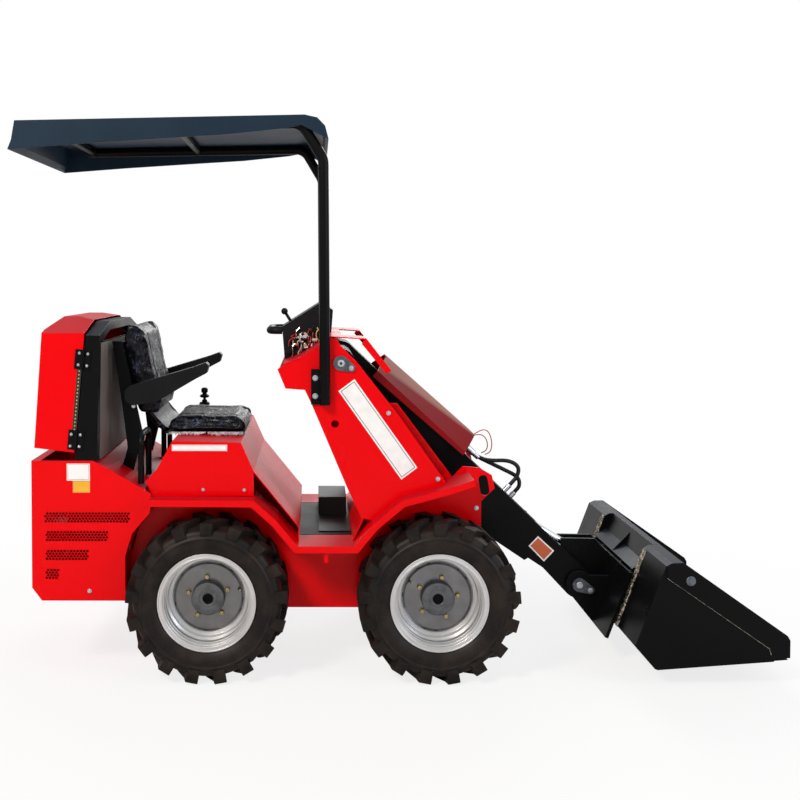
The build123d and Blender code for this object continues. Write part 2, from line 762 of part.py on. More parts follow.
# hose and wire routes: distance past the cowl's front, height above the boom's axis, and y
hose_routes = [
    [(fitting_reach, 86, fitting_ys[0]), (83, 87, fitting_ys[0]), (123, 108, -42), (173, 160, -44), (221, 172, -44),
     (244, 140, -44), (245, 61, -44)],
    [(fitting_reach, 86, fitting_ys[1]), (83, 86, fitting_ys[1]), (127, 100, -14), (195, 122, -16), (255, 140, -16),
     (284, 118, -16), (285, 61, -16)]]
wire_radius = 1.6
wire_routes = [
    [(1.9, 136, -62), (9, 172, -62), (31, 190, -60), (65, 176, -58), (91, 152, -54), (101, 128, -48),
     (91, 113, -44)],
    [(1.8, 130, -52), (19, 158, -52), (47, 164, -50), (75, 148, -48), (87, 124, -46), (77, 108, -43)]]


def boom_route(route):
    placed = []
    for past, normal, y in route:
        x, z = on_boom(cowl_end + past, normal)
        placed.append((x, y, z))
    return placed


def hose_fittings():
    low, high = cowl_end + 5, cowl_end + 13
    plate = slab([(low, boom_top(low) + seat_gap), (high, boom_top(high) + seat_gap), (high, 104), (low, 104)], -60, 6,
                 boom_plane)
    for y in fitting_ys:
        start, end = boom_route([(1.3, 85, y), (fitting_reach - seat_gap, 86, y)])
        plate += straight_rod(start, end, fitting_radius)
    return plate


def boom_hoses():
    hoses = None
    for route in hose_routes:
        hose = round_tube(boom_route(route), hose_radius, 18)
        hoses = hose if hoses is None else hoses + hose
    return hoses


def loom_wires():
    wires = None
    for route in wire_routes:
        wire = round_tube(boom_route(route), wire_radius, 8)
        wires = wire if wires is None else wires + wire
    return wires


# ---------------------------------------------------------------- cylinders

def eye_end(x, z, radius, half_width, hole):
    return cross_rod(x, z, radius, -half_width, half_width) - cross_rod(x, z, hole, -half_width - 1, half_width + 1)


def along_line(start, end, distance):
    run = hypot(end[0] - start[0], end[1] - start[1])
    return (start[0] + (end[0] - start[0]) * distance / run, start[1] + (end[1] - start[1]) * distance / run)


def rod_between(start, end, low, high, radius):
    a = along_line(start, end, low)
    b = along_line(start, end, high)
    return straight_rod((a[0], 0, a[1]), (b[0], 0, b[1]), radius)


lift_base = (lift_base_x, lift_base_z)
lift_eye = on_boom(lift_eye_along, lift_eye_normal)
lift_length = hypot(lift_eye[0] - lift_base_x, lift_eye[1] - lift_base_z)
tilt_base = on_boom(tilt_base_along, tilt_base_normal)
tilt_eye = on_boom(boom_length - tilt_arm * sin(radians(tilt_arm_angle)), tilt_arm * cos(radians(tilt_arm_angle)))
tilt_length = hypot(tilt_eye[0] - tilt_base[0], tilt_eye[1] - tilt_base[1])


def lift_barrel():
    barrel = rod_between(lift_base, lift_eye, 22, lift_length - 60, lift_barrel_radius)
    barrel += cross_rod(*lift_base, 30, -lift_eye_half_width, lift_eye_half_width)
    barrel -= rod_between(lift_base, lift_eye, 50, lift_length, lift_rod_radius + rod_gap)
    return barrel - cross_rod(*lift_base, cylinder_pin_radius + pin_clearance, -60, 60)


def lift_rod():
    rod = rod_between(lift_base, lift_eye, 60, lift_length - 10, lift_rod_radius)
    return rod + cross_rod(*lift_eye, 28, -lift_eye_half_width, lift_eye_half_width)


def tilt_barrel():
    barrel = rod_between(tilt_base, tilt_eye, 17, tilt_length - 236.6, tilt_barrel_radius)
    barrel += cross_rod(*tilt_base, 24, -tilt_eye_half_width, tilt_eye_half_width)
    barrel -= rod_between(tilt_base, tilt_eye, 40, tilt_length, tilt_rod_radius + rod_gap)
    return barrel - cross_rod(*tilt_base, cylinder_pin_radius + pin_clearance, -60, 60)


def tilt_rod():
    rod = rod_between(tilt_base, tilt_eye, 90, tilt_length - 8, tilt_rod_radius)
    return rod + cross_rod(*tilt_eye, 24, -tilt_eye_half_width, tilt_eye_half_width)


# ---------------------------------------------------------------- coupler and bucket

coupler_pin = on_boom(boom_length, 0)


def from_pin(points):
    # points given from the coupler pin, as points of the drawing
    return [(coupler_pin[0] + x, coupler_pin[1] + z) for x, z in points]


mount_line = from_pin([(140.3, 99.4), (50.3, -141.6)])


def lock_plate(x, z, tail_x, tail_z, y_low, y_high):
    # the teardrop plate that stops a pin from turning
    outline = Pos(x, z) * Circle(27) + Pos(tail_x, tail_z) * Circle(14)
    outline = make_hull(outline.edges())
    return slab(outline, y_low, y_high)


def coupler():
    x, z = coupler_pin
    plate = bent_sheet(mount_line, mount_wall, -mount_half_width, mount_half_width)
    ear_low = boom_half_width + ear_gap
    ear = Polygon(*from_pin([(21, 35), (116, 33), (50.3, -141.6), (18, -100), (-30, -42), (0, 48)]), align=None)
    ear += Pos(x, z) * Circle(50)
    plate += both_sides(slab(ear, ear_low, ear_low + ear_wall))
    gusset = Pos(x, z) * Circle(42) + Pos(*tilt_eye) * Circle(30)
    web = Polygon(*from_pin([(138, 94), (93, -27), (103, -27), (-57, 158), (-53, 163), (78, 161)]), align=None)
    gusset = make_hull(gusset.edges() + web.edges())
    web_low = tilt_eye_half_width + 6
    web_high = web_low + mount_wall
    plate += both_sides(slab(gusset, web_low, web_high) + cross_rod(*tilt_eye, 17, web_high, web_high + 3))
    pin_reach = ear_low + ear_wall
    plate += cross_rod(x, z, pivot_pin_radius, -pin_reach, pin_reach)
    plate += both_sides(lock_plate(x, z, x + 42, z - 20, pin_reach, pin_reach + 6))
    return plate


bucket_outline = from_pin([
    (198, 184), (220, 194), (259, 195), (bucket_reach - 9, -60), (bucket_reach, -76), (bucket_reach, -137),
    (bucket_reach - 51, -139), (bucket_reach - 57, -150), (172, -180), (162, -176), (93, -97)])
bucket_floor = from_pin([(93, -97), (162, -176), (172, -180), (bucket_reach - 148, -157)])
bucket_skin = from_pin([(259, 195), (220, 194), (198, 184)]) + bucket_floor
# between the corner boxes the back wall stands further forward
recess_skin = from_pin([(259, 195), (234, 195)]) + bucket_floor
recess_half_width = 271.0
bucket_strip = from_pin([
    (204, 141), (bucket_reach - 73, -103), (bucket_reach - 66, -124), (bucket_reach - 8, -76),
    (bucket_reach - 13, -60), (259, 191), (223, 191), (200, 182)])
receiver_ribs = (120.0, 250.0)
edge_slope = 30.0 / 402.0


def bucket():
    side_outer = bucket_half_width - strip_wall
    inner = side_outer - bucket_side_wall
    sides = slab(bucket_outline, inner, side_outer)
    sides += slab(bucket_strip, side_outer, bucket_half_width)
    sides += bent_sheet(bucket_skin, bucket_wall, recess_half_width, inner)
    corner = offset_path(bucket_skin, bucket_wall / 2)[1:4] + offset_path(recess_skin, bucket_wall / 2)[1:2]
    sides += slab(corner, recess_half_width, recess_half_width + bucket_wall)
    shell = both_sides(sides)
    shell += bent_sheet(recess_skin, bucket_wall, -recess_half_width, recess_half_width)
    # the lip that the mount plate hooks under, its middle web, and the ribs behind the plate
    lip = from_pin([(155, 105), (205, 132)])
    lip_half_width = recess_half_width + bucket_wall / 2
    shell += bent_sheet(lip, -bucket_wall, -lip_half_width, lip_half_width)
    shell += slab(lip + from_pin([(233, 187)]), -bucket_side_wall / 2, bucket_side_wall / 2)
    seat = offset_path(mount_line, mount_wall + seat_gap)
    rib = seat + from_pin([(96, -96), (190, 99)])
    for y in receiver_ribs:
        shell += both_sides(slab(rib, y, y + ear_wall))
    return shell


def cutting_edge():
    (heel_x, heel_z), (edge_x, _) = bucket_floor[2:]
    tip_x = coupler_pin[0] + bucket_reach - 6
    z_low = heel_z + (edge_x - heel_x) * edge_slope
    z_tip = heel_z + (tip_x - heel_x) * edge_slope
    bar = [(edge_x, z_low), (tip_x, z_tip), (tip_x, z_tip + 3), (tip_x - 17, z_tip + 9), (edge_x, z_low + 10)]
    inner = bucket_half_width - strip_wall - bucket_side_wall
    return slab(bar, -inner, inner)


# ---------------------------------------------------------------- pins and wheels

def frame_pins():
    outer = body_half_width
    pins = cross_rod(boom_pivot_x, boom_pivot_z, pivot_pin_radius, -outer, outer)
    pins += both_sides(lock_plate(boom_pivot_x, boom_pivot_z, boom_pivot_x + 37, boom_pivot_z - 17, outer, outer + 6))
    reach = lift_barrel_radius + cylinder_lug_gap + frame_wall + 4
    pins += cross_rod(*lift_base, cylinder_pin_radius, -reach, reach)
    return pins


def axle_hubs():
    hubs = None
    disc_y = tyre_centre_y + tyre_width / 2 - disc_inset - disc_wall
    for x in (0, wheel_base):
        step_y = disc_y - axle_boss_step
        hub = cross_rod(x, axle_z, motor_radius, frame_half_width, step_y)
        hub += cross_rod(x, axle_z, axle_radius, step_y, disc_y + axle_reach - seat_gap)
        hubs = hub if hubs is None else hubs + hub
    return both_sides(hubs)


def turned(points, x, centre_y, side):
    # a ring turned about a wheel's axle from (y offset, radius) corners
    sketch = Plane.YZ * Polygon(*points, align=None)
    ring = revolve(sketch, axis=Axis((0, 0, 0), (0, 1, 0)))
    if side < 0:
        ring = mirror(ring, about=Plane.XZ)
    return Pos(x, side * centre_y, axle_z) * ring


def tyre(x, side):
    half = tyre_width / 2
    bead = rim_half_width - rim_wall - seat_gap
    seat = rim_radius + bead_height
    flange = rim_flange_radius
    height = tyre_radius - flange
    outer = [(bead, seat), (bead, flange + 2), (half - 4, flange + 0.22 * height), (half, flange + 0.51 * height),
             (half - 6, flange + 0.84 * height), (half - 22, tyre_radius)]
    inner = [(half - 30, tyre_radius - crown_wall), (half - tyre_wall, flange + 0.47 * height),
             (half - 4 - tyre_wall, flange + 0.27 * height), (bead - tyre_wall, flange + 6), (bead - tyre_wall, seat)]
    section = outer + [(-y, r) for y, r in outer[::-1]] + [(-y, r) for y, r in inner[::-1]] + inner
    return turned(section, x, tyre_centre_y, side)


def wheel(x, side):
    half = rim_half_width
    wall = rim_wall
    seat = rim_radius + bead_height - seat_gap
    face = tyre_width / 2 - disc_inset
    back = face - disc_wall
    drop = seat - 14
    bore = axle_radius + axle_clearance
    flange = rim_flange_radius
    cap = hub_cap_radius
    cap_face = face + hub_cap_depth
    tyre_side = [
        (-half, flange), (-half + wall, flange), (-half + wall, seat), (-half + 52, seat), (-half + 67, drop),
        (half - 67, drop), (half - 52, seat), (half - wall, seat), (half - wall, flange), (half, flange)]
    dish = [
        (half, seat - wall), (half - 50, seat - wall), (half - 65, drop - wall), (face - 9, drop - wall),
        (face - 8, drop - 16), (face, drop - 29)]
    hub = [
        (face, cap), (cap_face - 8, cap), (cap_face, cap - 6), (cap_face, cap_bore), (back + axle_reach, cap_bore),
        (back + axle_reach, bore), (back, bore)]
    rear = [
        (back, drop - 31), (back - 8, drop - 18), (back - 10, drop - wall), (-half + 65, drop - wall),
        (-half + 50, seat - wall), (-half, seat - wall)]
    return turned(tyre_side + dish + hub + rear, x, tyre_centre_y, side)


# ---------------------------------------------------------------- nodes

def build():
    nodes = {
        "chassis_frame": chassis_frame(), "fenders": fenders(), "floor_plate": floor_plate(),
        "foot_rest": foot_rest(), "tower_sides": tower_sides(), "tower_shield": tower_shield(),
        "tower_hood": tower_hood(), "dash_console": dash_console(), "dash_controls": dash_controls(),
        "seat_console": seat_console(), "seat_frame": seat_frame(), "seat_cushion": seat_cushion(),
        "seat_back": seat_back(), "armrest_pins": armrest_pins(), "armrest_right": armrest(-1),
        "armrest_left": armrest(1), "grab_hoops": grab_hoops(), "joystick": joystick(),
        "engine_bay": engine_bay(), "vent_screens": vent_screens(), "engine": engine(),
        "hood_pillars": hood_pillars(), "hood_crossbar": hood_crossbar(), "firewall": firewall(),
        "hood_screen": hood_screen(), "engine_hood": engine_hood(), "hinge_leaves": hinge_part(False),
        "hinge_knuckles": hinge_part(True), "canopy_roof": canopy_roof(), "canopy_posts": canopy_posts(),
        "canopy_cross_tubes": canopy_cross_tubes(), "boom": boom(), "boom_cowl": boom_cowl(),
        "hose_fittings": hose_fittings(), "boom_hoses": boom_hoses(),
        "loom_wires": loom_wires(), "lift_barrel": lift_barrel(),
        "lift_rod": lift_rod(), "tilt_barrel": tilt_barrel(), "tilt_rod": tilt_rod(), "coupler": coupler(),
        "bucket": bucket(), "cutting_edge": cutting_edge(), "frame_pins": frame_pins(), "axle_hubs": axle_hubs(),
    }
    for end, x in (("rear", 0), ("front", wheel_base)):
        for side_name, side in (("right", -1), ("left", 1)):
            nodes[f"tyre_{end}_{side_name}"] = tyre(x, side)
            nodes[f"wheel_{end}_{side_name}"] = wheel(x, side)
    return nodes


origin_x = (canopy_rear_x + coupler_pin[0] + bucket_reach) / 2
os.makedirs("parts", exist_ok=True)
for name, solid in build().items():
    export_step(Pos(-origin_x, 0, tyre_radius - axle_z) * solid, f"parts/{name}.step")
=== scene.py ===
import bpy
import bmesh
import random
from math import acos, atan2, cos, exp, hypot, pi, radians, sin
from mathutils import Matrix, Vector, noise


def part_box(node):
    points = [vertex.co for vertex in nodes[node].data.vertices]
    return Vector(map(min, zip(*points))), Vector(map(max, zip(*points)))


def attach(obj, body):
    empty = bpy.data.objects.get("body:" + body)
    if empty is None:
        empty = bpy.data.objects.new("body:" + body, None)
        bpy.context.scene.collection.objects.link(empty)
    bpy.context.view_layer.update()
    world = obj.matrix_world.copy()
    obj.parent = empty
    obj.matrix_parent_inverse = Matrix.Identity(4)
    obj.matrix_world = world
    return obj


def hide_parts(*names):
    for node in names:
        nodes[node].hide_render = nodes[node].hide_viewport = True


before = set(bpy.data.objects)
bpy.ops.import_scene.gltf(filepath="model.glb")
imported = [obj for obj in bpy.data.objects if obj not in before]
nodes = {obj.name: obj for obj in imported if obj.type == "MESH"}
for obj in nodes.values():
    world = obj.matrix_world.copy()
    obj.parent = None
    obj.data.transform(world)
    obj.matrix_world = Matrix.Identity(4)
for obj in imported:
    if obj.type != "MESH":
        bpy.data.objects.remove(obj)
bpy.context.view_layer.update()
print("frame loaded:", len(nodes), "nodes")

# ---- where things are

mm = 0.001


def boxOf(node):
    # a node's lowest and highest corner
    return [Vector(corner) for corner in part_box(node)]


tyreLow, tyreHigh = boxOf("tyre_rear_right")
rearAxle = (tyreLow + tyreHigh) / 2
frontLow, frontHigh = boxOf("tyre_front_right")
frontAxle = (frontLow + frontHigh) / 2


def spot(x, y, z):
    # millimetres forward of the rear axle, left of the middle and above the ground
    return Vector((rearAxle.x + x * mm, y * mm, z * mm))


pivotX, pivotZ = 471, 1117
pinX, pinZ = 1396.66, 241.65
boomPivot, bucketPin = spot(pivotX, 0, pivotZ), spot(pinX, 0, pinZ)
alongBoom = (bucketPin - boomPivot).normalized()
overBoom = Vector((-alongBoom.z, 0, alongBoom.x))
right = (0, -1, 0)

# ---- small helpers

def linearColour(code):
    # sRGB hex to a linear colour
    parts = [int(code[i:i + 2], 16) / 255 for i in (1, 3, 5)]
    return tuple(p / 12.92 if p <= 0.04045 else ((p + 0.055) / 1.055) ** 2.4 for p in parts) + (1.0,)


def addNode(tree, kind, inputs=None, **settings):
    # a node of the tree's own family; an input takes a value, a hex colour or another node's output
    family = "GeometryNode" if tree.type == "GEOMETRY" else "ShaderNode"
    node = tree.nodes.new(kind if "Node" in kind else family + kind)
    for name, value in settings.items():
        setattr(node, name, value)
    for key, value in (inputs or {}).items():
        if isinstance(value, bpy.types.NodeSocket):
            tree.links.new(value, node.inputs[key])
        else:
            node.inputs[key].default_value = linearColour(value) if str(value).startswith("#") else value
    return node


def fromNode(tree, kind, inputs=None, output=0, **settings):
    return addNode(tree, kind, inputs, **settings).outputs[output]


def figure(tree, operation, *values):
    # one step of arithmetic
    return fromNode(tree, "ShaderNodeMath", dict(enumerate(values)), operation=operation)


def newObject(name, data):
    thing = bpy.data.objects.new(name, data)
    bpy.context.scene.collection.objects.link(thing)
    return thing


def newMesh(name, vertices, faces, material=None):
    mesh = bpy.data.meshes.new(name)
    mesh.from_pydata([tuple(v) for v in vertices], [], faces)
    if material:
        mesh.materials.append(material)
    outward(mesh)
    mesh.shade_flat()
    return newObject(name, mesh)


def outward(mesh):
    work = bmesh.new()
    work.from_mesh(mesh)
    bmesh.ops.remove_doubles(work, verts=work.verts, dist=1e-6)
    bmesh.ops.recalc_face_normals(work, faces=work.faces)
    work.to_mesh(mesh)
    work.free()


def finished(piece, sharp=None):
    # rounded faces shade smooth, and edges sharper than an angle in degrees stay crisp
    outward(piece.data)
    piece.data.shade_smooth()
    if sharp:
        piece.data.set_sharp_from_angle(angle=radians(sharp))
    return piece


def loft(name, bodies, material=None):
    # closed bodies, each a list of loops with as many points, skinned from loop to loop and capped
    vertices, faces = [], []
    for loops in bodies:
        start, n = len(vertices), len(loops[0])
        vertices += [point for loop in loops for point in loop]
        for a in range(start, len(vertices) - n, n):
            faces += [(a + i, a + (i + 1) % n, a + n + (i + 1) % n, a + n + i) for i in range(n)]
        faces += [tuple(range(start, start + n)), tuple(range(len(vertices) - n, len(vertices)))]
    return newMesh(name, vertices, faces, material)


def circle(radius, height, sides):
    # a loop round Z, in millimetres
    turns = [2 * pi * i / sides for i in range(sides)]
    return [Vector((radius * cos(a), radius * sin(a), height)) * mm for a in turns]


def roundBar(name, start, end, radius, material, sides=16, cap=0.0):
    # a straight bar between two places, its ends chamfered by cap millimetres
    turn = (end - start).normalized().to_track_quat("Z", "Y")
    length = (end - start).length / mm
    rings = [(radius - cap, 0), (radius, cap), (radius, length - cap), (radius - cap, length)]
    loops = [[start + turn @ p for p in circle(r, z, sides)] for r, z in (rings if cap else rings[1:3])]
    return finished(loft(name, [loops], material), 35)


def joined(name, parts):
    # several mesh objects made one, each keeping its material
    target = parts[0]
    with bpy.context.temp_override(active_object=target, object=target, selected_objects=parts,
                                   selected_editable_objects=parts):
        bpy.ops.object.join()
    target.name = name
    target.data.name = name
    return target


def place(piece, body):
    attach(piece, body)
    return piece


def baked(piece):
    # the evaluated shape as a plain mesh with no modifiers left
    bpy.context.view_layer.update()
    graph = bpy.context.evaluated_depsgraph_get()
    mesh = bpy.data.meshes.new_from_object(piece.evaluated_get(graph), depsgraph=graph)
    if piece.type == "MESH":
        piece.modifiers.clear()
        old = piece.data
        piece.data = mesh
        bpy.data.meshes.remove(old)
        return piece
    plain = newObject(piece.name + "Mesh", mesh)
    bpy.data.objects.remove(piece)
    return plain


def runNodes(piece, tree, values):
    # the modifier's inputs are set by identifier before anything is evaluated
    modifier = piece.modifiers.new(tree.name, "NODES")
    modifier.node_group = tree
    for item in tree.interface.items_tree:
        if item.item_type == "SOCKET" and item.in_out == "INPUT" and item.name in values:
            modifier[item.identifier] = values[item.name]
    return baked(piece)


def newTree(name, sockets):
    tree = bpy.data.node_groups.new(name, "GeometryNodeTree")
    for label, kind in [("Geometry", "Geometry")] + sockets:
        tree.interface.new_socket(label, in_out="INPUT", socket_type="NodeSocket" + kind)
    tree.interface.new_socket("Geometry", in_out="OUTPUT", socket_type="NodeSocketGeometry")
    return tree, addNode(tree, "NodeGroupInput").outputs


def endTree(tree, geometry, material):
    real = fromNode(tree, "RealizeInstances", {"Geometry": geometry})
    painted = fromNode(tree, "SetMaterial", {"Geometry": real, "Material": material})
    addNode(tree, "NodeGroupOutput", {0: painted})
    return tree


# ---- camera, light and floor

# the camera's tilt, roll and turn are in degrees
cameraView = {"place": (-0.2805, -4.278, 1.419), "turns": (88.18, -0.06, 0.08),
              "lens": {"lens": 49.05, "sensor_width": 36.0, "shift_x": 0.1067, "shift_y": -0.1085}}
camera = newObject("camera", bpy.data.cameras.new("camera"))
camera.location = cameraView["place"]
camera.rotation_euler = [radians(turn) for turn in cameraView["turns"]]
for name, value in cameraView["lens"].items():
    setattr(camera.data, name, value)
bpy.context.scene.camera = camera
bpy.context.scene.view_settings.view_transform = "Standard"

# lamps: place, aim, size in metres, watts
lamps = {
    "key": {"place": (-3.6, -4.6, 5.2), "aim": (0, 0, 0.6), "size": 1.4, "watts": 330, "colour": "#fff6ea"},
    "fill": {"place": (5.0, -3.4, 2.8), "aim": (0.3, 0, 0.5), "size": 3.0, "watts": 130, "colour": "#eaf1ff"},
    "back": {"place": (1.0, 5.0, 3.6), "aim": (0, 0, 0.8), "size": 3.0, "watts": 190, "colour": "#ffffff"}}
for name, lamp in lamps.items():
    data = bpy.data.lights.new(name, "AREA")
    data.size = lamp["size"]
    data.energy = lamp["watts"]
    data.color = linearColour(lamp["colour"])[:3]
    lampObject = newObject(name, data)
    lampObject.location = lamp["place"]
    aim = Vector(lamp["aim"]) - Vector(lamp["place"])
    lampObject.rotation_euler = aim.to_track_quat("-Z", "Y").to_euler()

# a dim sky for the light it gives, and a white one where it is seen or mirrored
skyLevel = 0.36
world = bpy.data.worlds.new("studio")
bpy.context.scene.world = world
world.use_nodes = True
sky = world.node_tree
sky.nodes.clear()
rays = addNode(sky, "LightPath").outputs
seen = figure(sky, "MAXIMUM", rays["Is Glossy Ray"], rays["Is Transmission Ray"])
seen = figure(sky, "MAXIMUM", rays["Is Camera Ray"], seen)
dim = fromNode(sky, "Background", {"Color": "#ffffff", "Strength": skyLevel})
bright = fromNode(sky, "Background", {"Color": "#ffffff", "Strength": 1.0})
both = fromNode(sky, "MixShader", {0: seen, 1: dim, 2: bright})
addNode(sky, "OutputWorld", {"Surface": both})

# the floor fades to plain white away from the machine's shadow; sizes in metres
floorLook = {"half": 15.0, "paint": "#f2f2f2", "near": 1.3, "far": 2.6, "nearWhite": 0.8}
floorPaint = bpy.data.materials.new("paleFloor")
floorPaint.use_nodes = True
floorTree = floorPaint.node_tree
floorTree.nodes.clear()
rays = addNode(floorTree, "LightPath").outputs
lit = fromNode(floorTree, "BsdfDiffuse", {"Color": floorLook["paint"]})
glow = fromNode(floorTree, "Emission", {"Color": "#ffffff", "Strength": 1.0})
away = fromNode(floorTree, "VectorMath", {0: fromNode(floorTree, "TexCoord", output="Object")},
               operation="LENGTH", output="Value")
fade = fromNode(floorTree, "MapRange", {0: away, 1: floorLook["near"], 2: floorLook["far"],
                                                 3: floorLook["nearWhite"], 4: 1.0})
share = figure(floorTree, "MULTIPLY", rays["Is Camera Ray"], fade)
floorShade = fromNode(floorTree, "MixShader", {0: share, 1: lit, 2: glow})
addNode(floorTree, "OutputMaterial", {"Surface": floorShade})
h = floorLook["half"]
floor = newMesh("floor", [(-h, -h, 0), (h, -h, 0), (h, h, 0), (-h, h, 0)], [(0, 1, 2, 3)], floorPaint)
print("camera, light and floor set")

# ---- finishes

def newMaterial(name):
    # an empty material, its tree, and the object coordinates in metres
    material = bpy.data.materials.new(name)
    material.use_nodes = True
    tree = material.node_tree
    tree.nodes.clear()
    return material, tree, fromNode(tree, "TexCoord", output="Object")


def mottle(tree, where, size, detail=4.0):
    # noise whose patches are about size millimetres across
    return fromNode(tree, "TexNoise", {"Vector": where, "Scale": 1000 / size, "Detail": detail,
                                                "Roughness": 0.55}, output="Fac")


def blendColour(tree, amount, first, second):
    return fromNode(tree, "Mix", {0: amount, 6: first, 7: second}, 2, data_type="RGBA")


def spread(tree, value, low, high, toLow, toHigh):
    return fromNode(tree, "MapRange", {0: value, 1: low, 2: high, 3: toLow, 4: toHigh})


def softEdge(tree, radius):
    return fromNode(tree, "Bevel", {"Radius": radius * mm}, samples=4)


def bumped(tree, height, strength, depth, under=None):
    # relief depth millimetres deep, over another normal
    inputs = {"Height": height, "Strength": strength, "Distance": depth * mm}
    if under is not None:
        inputs["Normal"] = under
    return fromNode(tree, "Bump", inputs)


def endMaterial(tree, inputs):
    shader = addNode(tree, "BsdfPrincipled", inputs)
    addNode(tree, "OutputMaterial", {"Surface": shader.outputs[0]})


def paintedSteel(name, paint, dustSize, dust, dustColour, peelSize, peel, rough, edge, gloss, topSheenAndDust,
                 topSheenAndDustColour, topRange, sheenCutLine=None):
    # powder coat on sheet and plate: softened edges, orange peel, dust that gathers in wide patches, and a painted
    # sky reflection mixed with dust on faces that look up
    material, tree, where = newMaterial(name)
    wide = mottle(tree, where, dustSize)
    dust = spread(tree, wide, 0.3, 0.85, 0.0, dust)
    colour = blendColour(tree, dust, paint, dustColour)
    # the faces that look up take a second colour: painted sky reflection mixed with fine dust
    facing = addNode(tree, "SeparateXYZ", {0: fromNode(tree, "TexCoord", output="Normal")})
    upperSheenAndDust = spread(tree, facing.outputs[2], *topRange, 0.0, topSheenAndDust)
    if sheenCutLine:
        # the painted top colour stops below a line across the panel
        slant, level, blur = sheenCutLine
        height = fromNode(tree, "VectorMath", {0: where, 1: slant},
                         operation="DOT_PRODUCT", output="Value")
        upperSheenAndDust = figure(tree, "MULTIPLY", upperSheenAndDust, spread(tree, height, level - blur, level + blur, 0.0, 1.0))
    colour = blendColour(tree, upperSheenAndDust, colour, topSheenAndDustColour)
    rough = spread(tree, wide, 0.3, 0.7, rough - 0.05, rough + 0.08)
    rough = figure(tree, "MULTIPLY_ADD", upperSheenAndDust, 0.5, rough)
    bump = bumped(tree, mottle(tree, where, peelSize, 2.0), peel, 0.3,
                  softEdge(tree, edge))
    endMaterial(tree, {"Base Color": colour, "Roughness": rough, "Normal": bump,
                       "Specular IOR Level": gloss})
    return material


# gloss red powder coat over folded steel: a deep wet red with long clean highlights
# faces that look up are painted a purple red, a painted reflection of the sky mixed with some dust
redCoat = dict(dustSize=420, dust=0.12, dustColour="#a00c10", peelSize=5, peel=0.12, rough=0.22,
               edge=1.6, gloss=0.1, topSheenAndDust=0.5, topSheenAndDustColour="#8a1428", topRange=(0.6, 0.8))
redPowderCoat = paintedSteel("redPowderCoat", "#e60008", **redCoat)
# the same coat on the cowl over the boom, in a darker red that paints its shade, with pale tan on faces that look up
# as painted sky reflection mixed with dust, down to a slanting line
sheenCutSlant = overBoom - 0.115 * alongBoom
dustyRedCoat = paintedSteel("dustyRedCoat", "#8a040e", **dict(
    redCoat, dustSize=300, dust=0.5, dustColour="#5d1016", gloss=0.12, topSheenAndDust=0.9,
    topSheenAndDustColour="#ab8176", topRange=(0.4, 0.5),
    sheenCutLine=(sheenCutSlant, boomPivot.dot(sheenCutSlant) + 73 * mm, 6 * mm)))
# satin black powder coat on boom, coupler and bucket: near black, with a painted blue sky reflection on the faces
# that look up
blackPowderCoat = paintedSteel("blackPowderCoat", "#090a0c",
    dustSize=260, dust=0.3, dustColour="#171513", peelSize=6, peel=0.15, rough=0.28,
    edge=1.8, gloss=0.07, topSheenAndDust=0.45, topSheenAndDustColour="#1c2634", topRange=(0.5, 0.8))
# brushed-on grey primer of the sheet behind the seat
greyPrimer = paintedSteel("greyPrimer", "#6f6862",
    dustSize=120, dust=0.5, dustColour="#857b70", peelSize=4, peel=0.2, rough=0.55,
    edge=1.0, gloss=0.3, topSheenAndDust=0.0, topSheenAndDustColour="#857b70", topRange=(0.6, 0.8))


def mouldedPlastic(name, tint, dust, dustColour, grainSize, grain, rough, edge, gloss):
    # vacuum-formed or injection-moulded plastic: fine leather grain, duller where it is dusty
    material, tree, where = newMaterial(name)
    wide = mottle(tree, where, 300)
    skin = fromNode(tree, "TexVoronoi", {"Vector": where, "Scale": 1000 / grainSize},
                    feature="SMOOTH_F1", output="Distance")
    dust = spread(tree, wide, 0.35, 0.7, 0.0, dust)
    endMaterial(tree, {
        "Base Color": blendColour(tree, dust, tint, dustColour),
        "Roughness": spread(tree, wide, 0.3, 0.7, rough - 0.06, rough + 0.08),
        "Normal": bumped(tree, skin, grain, 0.4, softEdge(tree, edge)),
        "Specular IOR Level": gloss})
    return material


# vacuum-formed polyethylene roof: dark slate, softly shiny
roofPlastic = mouldedPlastic("roofPolyethylene", "#142534",
    dust=0.35, dustColour="#1d3243", grainSize=6, grain=0.12, rough=0.42, edge=4.0,
    gloss=0.14)
# integral-skin foam armrests, grips and control housing: flat black with a tight 3 mm grain
gripPlastic = mouldedPlastic("gripUrethane", "#0d0d0f",
    dust=0.4, dustColour="#1b1a1e", grainSize=3, grain=0.25, rough=0.45, edge=2.5,
    gloss=0.12)
print("paint and plastic made")


def metal(name, tint, second, cloud, rough, edge, grit, metallic=1.0):
    # bare, plated or metallic-painted steel: cloudy roughness and faint working marks
    material, tree, where = newMaterial(name)
    cloud = mottle(tree, where, cloud)
    endMaterial(tree, {
        "Base Color": blendColour(tree, spread(tree, cloud, 0.35, 0.7, 0.0, 1.0), tint, second),
        "Roughness": spread(tree, cloud, 0.3, 0.7, rough - 0.06, rough + 0.10),
        "Normal": bumped(tree, mottle(tree, where, grit, 2.0), 0.15, 0.2,
                         softEdge(tree, edge)),
        "Metallic": metallic})
    return material


